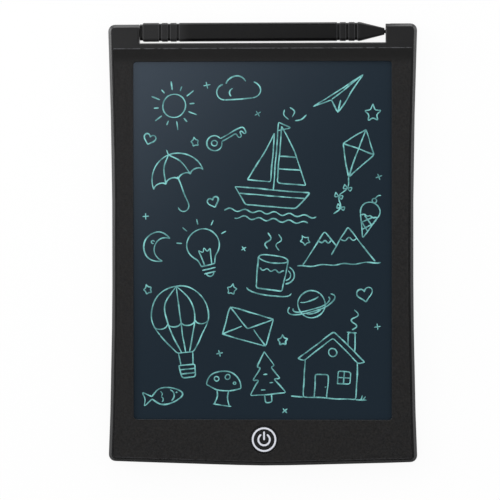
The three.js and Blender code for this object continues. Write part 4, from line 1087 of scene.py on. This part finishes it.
LINE_WIDTH = 0.6
LINE_HEIGHT = 0.03
SHAKE = 0.35
SHAKE_LENGTH = 7
PAGE_SHIFT = 3.7
SHAKE_STEP = 0.8
PRESS = 0.45
PAGE_SEED = 3
# The noise starts from a fixed seed, so that each run draws the same page
noise.seed_set(PAGE_SEED)
window_middle = (window_y[0] + window_y[1]) / 2 / MM
strokes = []
for number, (drawing, x, y, turn, size) in enumerate(page):
    put = (Matrix.Translation((x, y + window_middle, 0)) @ Matrix.Rotation(math.radians(turn), 4, "Z")
           @ Matrix.Scale(size, 4))
    for stroke in drawing:
        placed = spaced([put @ point for point in stroke], SHAKE_STEP)
        seed = Vector((0, 0, PAGE_SHIFT * number))
        shaken = []
        for point in placed:
            sway = noise.noise_vector(point / SHAKE_LENGTH + seed)
            shaken.append(point + SHAKE * Vector((sway.x, sway.y, 0)))
        strokes.append(shaken)
reach = max(max(abs(p.x) for p in s) for s in strokes)
print(len(page), "doodles,", len(strokes), "strokes, reaching", round(reach, 1), "mm from the middle")
ribbon("drawn_lines", strokes, LINE_WIDTH, LINE_HEIGHT * MM, film_high.z, drawn_line,
       "casing", press=PRESS)

# %% [markdown]
# What is left are the CAD solids that need no new shape: the film that is drawn on, and what is
# sealed inside. They stay as they are and only get finishes. A real circuit board has a green
# lacquer over woven glass, so its colour follows a fine weave. Springs and the cell are rolled
# steel, whose straight lines come from a noise that is stretched along X. Real ones are a few
# hundredths of a millimetre apart, and they are drawn wider, so that they show.

# %% Finishes of the inner pieces
ROLLED_LENGTH = 20
ROLLED_SHADE = 0.85


def lacquered_laminate():
    """Solder lacquer over woven glass: green, glossy, with the weave just showing."""
    material, tree, shader, place = start_material("lacquered_laminate", {"Roughness": 0.32})
    weave = add_node(tree, "TexChecker", {
        "Vector": place, "Scale": 1 / (0.5 * MM), "Color1": linear("1b5a33"), "Color2": linear("206339")})
    cloud = add_node(tree, "TexNoise", {"Vector": place, "Scale": 1 / (6 * MM), "Detail": 2.0})
    colour = add_node(tree, "Mix", {"Factor": cloud, "A": weave, "B": linear("17502d")}, data_type="RGBA")
    feed(tree, shader, {"Base Color": colour})
    return material


def bright_steel(name, colour, roughness, line_pitch):
    """Rolled steel: straight, fine lines from the rollers."""
    material, tree, shader, place = start_material(name, {"Metallic": 1.0})
    rolled = add_node(tree, "Mapping", {"Vector": place, "Scale": (1 / ROLLED_LENGTH, 1, 1)})
    lines = add_node(tree, "TexNoise", {"Vector": rolled, "Scale": 1 / (line_pitch * MM), "Detail": 3.0})
    base = linear(colour)
    tone = add_node(tree, "Mix", {
        "Factor": lines, "A": shade(base, ROLLED_SHADE), "B": base}, data_type="RGBA")
    rough = add_node(tree, "MapRange", {
        "Value": lines, **SPREAD, "To Min": roughness - 0.06, "To Max": roughness + 0.08})
    feed(tree, shader, {"Base Color": tone, "Roughness": rough})
    return material


inner_finishes = {
    writing_film: ["lcd_front_film"],
    # The crystal's polymer: deep blue-black, seen only at its edge
    moulded("crystal_polymer", "1d3040", 0.5, 0.001, 0.4, 0.5): ["lcd_crystal_layer"],
    # Polyester film with a black coat: even and half glossy
    moulded("black_polyester", "0d1013", 0.5, 0.001, 0.45, 0.5): ["lcd_back_film"],
    # White acrylic tape: faintly cloudy
    moulded("acrylic_tape", "d6d6cf", 0.6, 0.004, 0.55, 0.5, 0.05):
        ["overlay_adhesive", "lcd_adhesive_sheet"],
    # Polyimide film of a flat lead: amber and glossy
    moulded("amber_polyimide", "b4772c", 0.8, 0.002, 0.35, 0.5): ["lcd_flex_tail"],
    # Moulded nylon: ivory and slightly waxy
    moulded("ivory_nylon", "e2dccb", 0.3, 0.004, 0.5, 0.45):
        ["flex_connector", "erase_switch_plunger", "lock_switch_lever"],
    lacquered_laminate(): ["main_board"],
    # Resin filled with ground glass: charcoal, dull and finely rough
    moulded("filled_resin", "18191b", 0.15, 0.01, 0.7, 0.4):
        ["controller_chip", "boost_inductor", "timing_resistor", "pull_up_resistor", "boost_diode",
         "erase_switch_base", "lock_switch_body"],
    # Fired ceramic of the small capacitors: tan and dry
    moulded("fired_ceramic", "b59d78", 0.2, 0.006, 0.55, 0.5): ["input_capacitor", "output_capacitor"],
    bright_steel("spring_steel", "c6c8ca", 0.3, 0.15):
        ["snap_dome", "erase_switch_cover", "battery_negative_contact", "battery_positive_contact"],
    screw_zinc: ["board_screw_left", "board_screw_right"],
}
for material, names in inner_finishes.items():
    for name in names:
        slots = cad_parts[name].data.materials
        slots.clear()
        slots.append(material)
print(sum(len(names) for names in inner_finishes.values()), "CAD solids have their finish")

# %% [markdown]
# The coin cell shows when the door is open. A real one is a wide can of bright steel with a
# smaller cap rolled into it, so it is turned again with fine steps and rounded edges.

# %% Coin cell
CELL_EDGE = 0.2 * MM
CELL_RIM = 1.3 * MM
cell_steel = bright_steel("bright_can_steel", "d0d1d2", 0.2, 0.3)
cell_low, cell_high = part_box("coin_cell")
cell_radius = (cell_high.x - cell_low.x) / 2
cap_radius = cell_radius - CELL_RIM
shoulder = cell_high.z - CELL_EDGE
cell = spun([
    (0, cell_low.z), (cell_radius, cell_low.z), (cell_radius, shoulder), (cap_radius, shoulder),
    (cap_radius, cell_high.z), (0, cell_high.z),
], (cell_low + cell_high) / 2)
rolled_edges = sharp_edges(cell, cell_low.z) + sharp_edges(cell, shoulder)
round_off(cell, rolled_edges, CELL_EDGE * 0.9, 4)
finish(cell, "cell_can", cell_steel, "casing", ["coin_cell"])

# %% [markdown]
# The studio is plain. A pale floor lies under the tablet. To the camera and in reflections it is
# white, apart from the soft shadow that it keeps. Seen from below it lets everything through,
# and so it does for light that starts within a few millimetres of it. That way the back of the
# tablet can be looked at from underneath and has light on it. It lies a hair below the back,
# because two faces in one plane can each hide the other.

# %% Floor
FLOOR_HALF = 4.0
FLOOR_DROP = 0.1 * MM
FLOOR_WHITE = 0.92
SEE_THROUGH = 8 * MM
WHITE = linear("ffffff")


def staged(bm, name, material):
    """Turns a bmesh into a thing of the studio, which is no part of the tablet."""
    mesh = bpy.data.meshes.new(name)
    bm.to_mesh(mesh)
    bm.free()
    mesh.materials.append(material)
    thing = bpy.data.objects.new(name, mesh)
    bpy.context.scene.collection.objects.link(thing)
    print(name, "of", material.name)
    return thing


def empty_material(name):
    """A material with only its output node."""
    material = bpy.data.materials.new(name)
    material.use_nodes = True
    tree = material.node_tree
    tree.nodes.clear()
    return material, tree, tree.nodes.new("ShaderNodeOutputMaterial")


def shown_share(tree):
    """1 for what the camera sees, directly or in a reflection or through glass, and else 0."""
    rays = tree.nodes.new("ShaderNodeLightPath").outputs
    seen = add_node(tree, "Math", {0: rays["Is Camera Ray"], 1: rays["Is Glossy Ray"]}, operation="ADD")
    share = add_node(tree, "Math", {
        0: seen, 1: rays["Is Transmission Ray"]}, operation="ADD", use_clamp=True)
    return share, rays


def studio_floor():
    """Pale paint that is white where it is seen, and open from below and close by."""
    material, tree, output = empty_material("painted_studio_floor")
    shown, rays = shown_share(tree)
    white_share = add_node(tree, "Math", {0: shown, 1: FLOOR_WHITE}, operation="MULTIPLY")
    below = add_node(tree, "NewGeometry", output="Backfacing")
    near = add_node(tree, "Math", {0: rays["Ray Length"], 1: SEE_THROUGH}, operation="LESS_THAN")
    open_share = add_node(tree, "Math", {0: below, 1: near}, operation="MAXIMUM")
    paint = add_node(tree, "BsdfDiffuse", {"Color": linear("f4f4f4")})
    white = add_node(tree, "Emission", {"Color": WHITE, "Strength": 1.0})
    lit = add_node(tree, "MixShader", {0: white_share, 1: paint, 2: white})
    through = add_node(tree, "BsdfTransparent")
    result = add_node(tree, "MixShader", {0: open_share, 1: lit, 2: through})
    feed(tree, output, {"Surface": result})
    return material


floor = bmesh.new()
bmesh.ops.create_grid(floor, x_segments=1, y_segments=1, size=FLOOR_HALF)
bmesh.ops.translate(floor, verts=floor.verts, vec=(0, 0, -FLOOR_DROP))
staged(floor, "floor", studio_floor())

# %% [markdown]
# A glossy black thing is lit by what it mirrors. Straight above, the film mirrors the place
# where the camera is, so a dark card hangs there, as a photographer hangs one. Along one diagonal
# it glows, from nothing above the tablet to GLOW_LEVEL at GLOW_END, where the glow stops. The
# film's upper left corner mirrors that as a soft sheen. A second dark card stands beyond the
# bottom edge, which has no line of light in the picture. The cards cast no shadow on purpose:
# they are only seen in reflections.

# %% Cards
CARD_HALF = 1.7
CARD_HEIGHT = 1.3
STAND_HALF = 0.7
STAND_AT = -0.9
GLOW_END = 0.34
GLOW_HALF = 0.36
GLOW_CURVE = 2.5
GLOW_LEVEL = 3.2


def glowing_card():
    material, tree, output = empty_material("graded_card")
    place = add_node(tree, "TexCoord", output="Object")
    turned = add_node(tree, "VectorRotate", {
        "Vector": place, "Angle": math.radians(45)}, rotation_type="Z_AXIS")
    along = add_node(tree, "SeparateXYZ", {"Vector": turned}, output="X")
    rising = add_node(tree, "MapRange", {"Value": along, "From Max": -GLOW_END})
    curved = add_node(tree, "Math", {0: rising, 1: GLOW_CURVE}, operation="POWER")
    before_end = add_node(tree, "Math", {0: along, 1: -GLOW_END}, operation="GREATER_THAN")
    across = add_node(tree, "Math", {0: along.node.outputs["Y"]}, operation="ABSOLUTE")
    beside = add_node(tree, "Math", {0: across, 1: GLOW_HALF}, operation="LESS_THAN")
    patch = add_node(tree, "Math", {0: before_end, 1: beside}, operation="MULTIPLY")
    share = add_node(tree, "Math", {0: curved, 1: patch}, operation="MULTIPLY")
    strength = add_node(tree, "MapRange", {"Value": share, "To Max": GLOW_LEVEL})
    glow = add_node(tree, "Emission", {"Color": WHITE, "Strength": strength})
    feed(tree, output, {"Surface": glow})
    return material


def black_card():
    material, tree, output = empty_material("black_velvet")
    cloth = add_node(tree, "BsdfDiffuse", {"Color": linear("050505")})
    feed(tree, output, {"Surface": cloth})
    return material


def card(name, material, half, place):
    bm = bmesh.new()
    bmesh.ops.create_grid(bm, x_segments=1, y_segments=1, size=half)
    bmesh.ops.transform(bm, verts=bm.verts, matrix=place)
    made = staged(bm, name, material)
    made.visible_camera = False
    made.visible_diffuse = False
    made.visible_shadow = False


standing = Matrix.Translation((0, STAND_AT, STAND_HALF)) @ Matrix.Rotation(math.radians(90), 4, "X")
card("card_above", glowing_card(), CARD_HALF, Matrix.Translation((0, 0, CARD_HEIGHT)))
card("card_below", black_card(), STAND_HALF, standing)

# %% [markdown]
# Low, wide lamps at the left, the right and the top draw the lines of light on the rounded
# edges. Together with the room they add up to a plain level, at which a colour comes out about
# as it is written.

# %% World and lamps
ROOM_LEVEL = 0.71
world = bpy.data.worlds.new("white_room")
bpy.context.scene.world = world
world.use_nodes = True
room = world.node_tree
shown, _ = shown_share(room)
strength = add_node(room, "MapRange", {"Value": shown, "To Min": ROOM_LEVEL, "To Max": 1.0})
feed(room, room.nodes["Background"], {"Color": WHITE, "Strength": strength})


def lamp(name, place, width, height, level):
    """A rectangular lamp that faces the tablet, with its place and size in metres."""
    data = bpy.data.lights.new(name, "AREA")
    data.shape = "RECTANGLE"
    data.size = width
    data.size_y = height
    # An area lamp shines at a quarter of its watts per square metre
    data.energy = level * 4 * width * height
    made = bpy.data.objects.new(name, data)
    bpy.context.scene.collection.objects.link(made)
    facing = Vector(place).to_track_quat("Z", "Y").to_matrix().to_4x4()
    made.matrix_world = Matrix.Translation(place) @ facing
    print(name, "at level", level)


lamp("left_window", (-1.1, 0.5, 0.3), 0.9, 0.56, 5.5)
lamp("right_window", (1.1, 0.5, 0.3), 0.9, 0.56, 2.2)
lamp("top_window", (0.0, 1.25, 0.32), 1.2, 0.56, 3.2)

# %% [markdown]
# The camera looks almost straight down from a metre away through a long lens, a touch from the
# right. Its place and turn were worked out from the corners and edges in the photograph.

# %% Camera
CAMERA_AT = Vector((35.0, 8.1, 1022.0)) * MM
CAMERA_TURN = (-0.594, 2.309, -0.049)
camera_data = bpy.data.cameras.new("camera")
camera_data.lens = 150
camera_data.sensor_width = 36
camera = bpy.data.objects.new("camera", camera_data)
bpy.context.scene.collection.objects.link(camera)
camera.location = CAMERA_AT
camera.rotation_euler = [math.radians(angle) for angle in CAMERA_TURN]
bpy.context.scene.camera = camera
bpy.context.scene.view_settings.view_transform = "Standard"
print("camera", round(camera.location.z, 3), "m above the floor, lens", camera_data.lens, "mm")

# %% [markdown]
# The last step prints the CAD box.

# %% Sizes and the end
print("CAD box", [[round(v / MM, 3) for v in c] for c in cad_box])
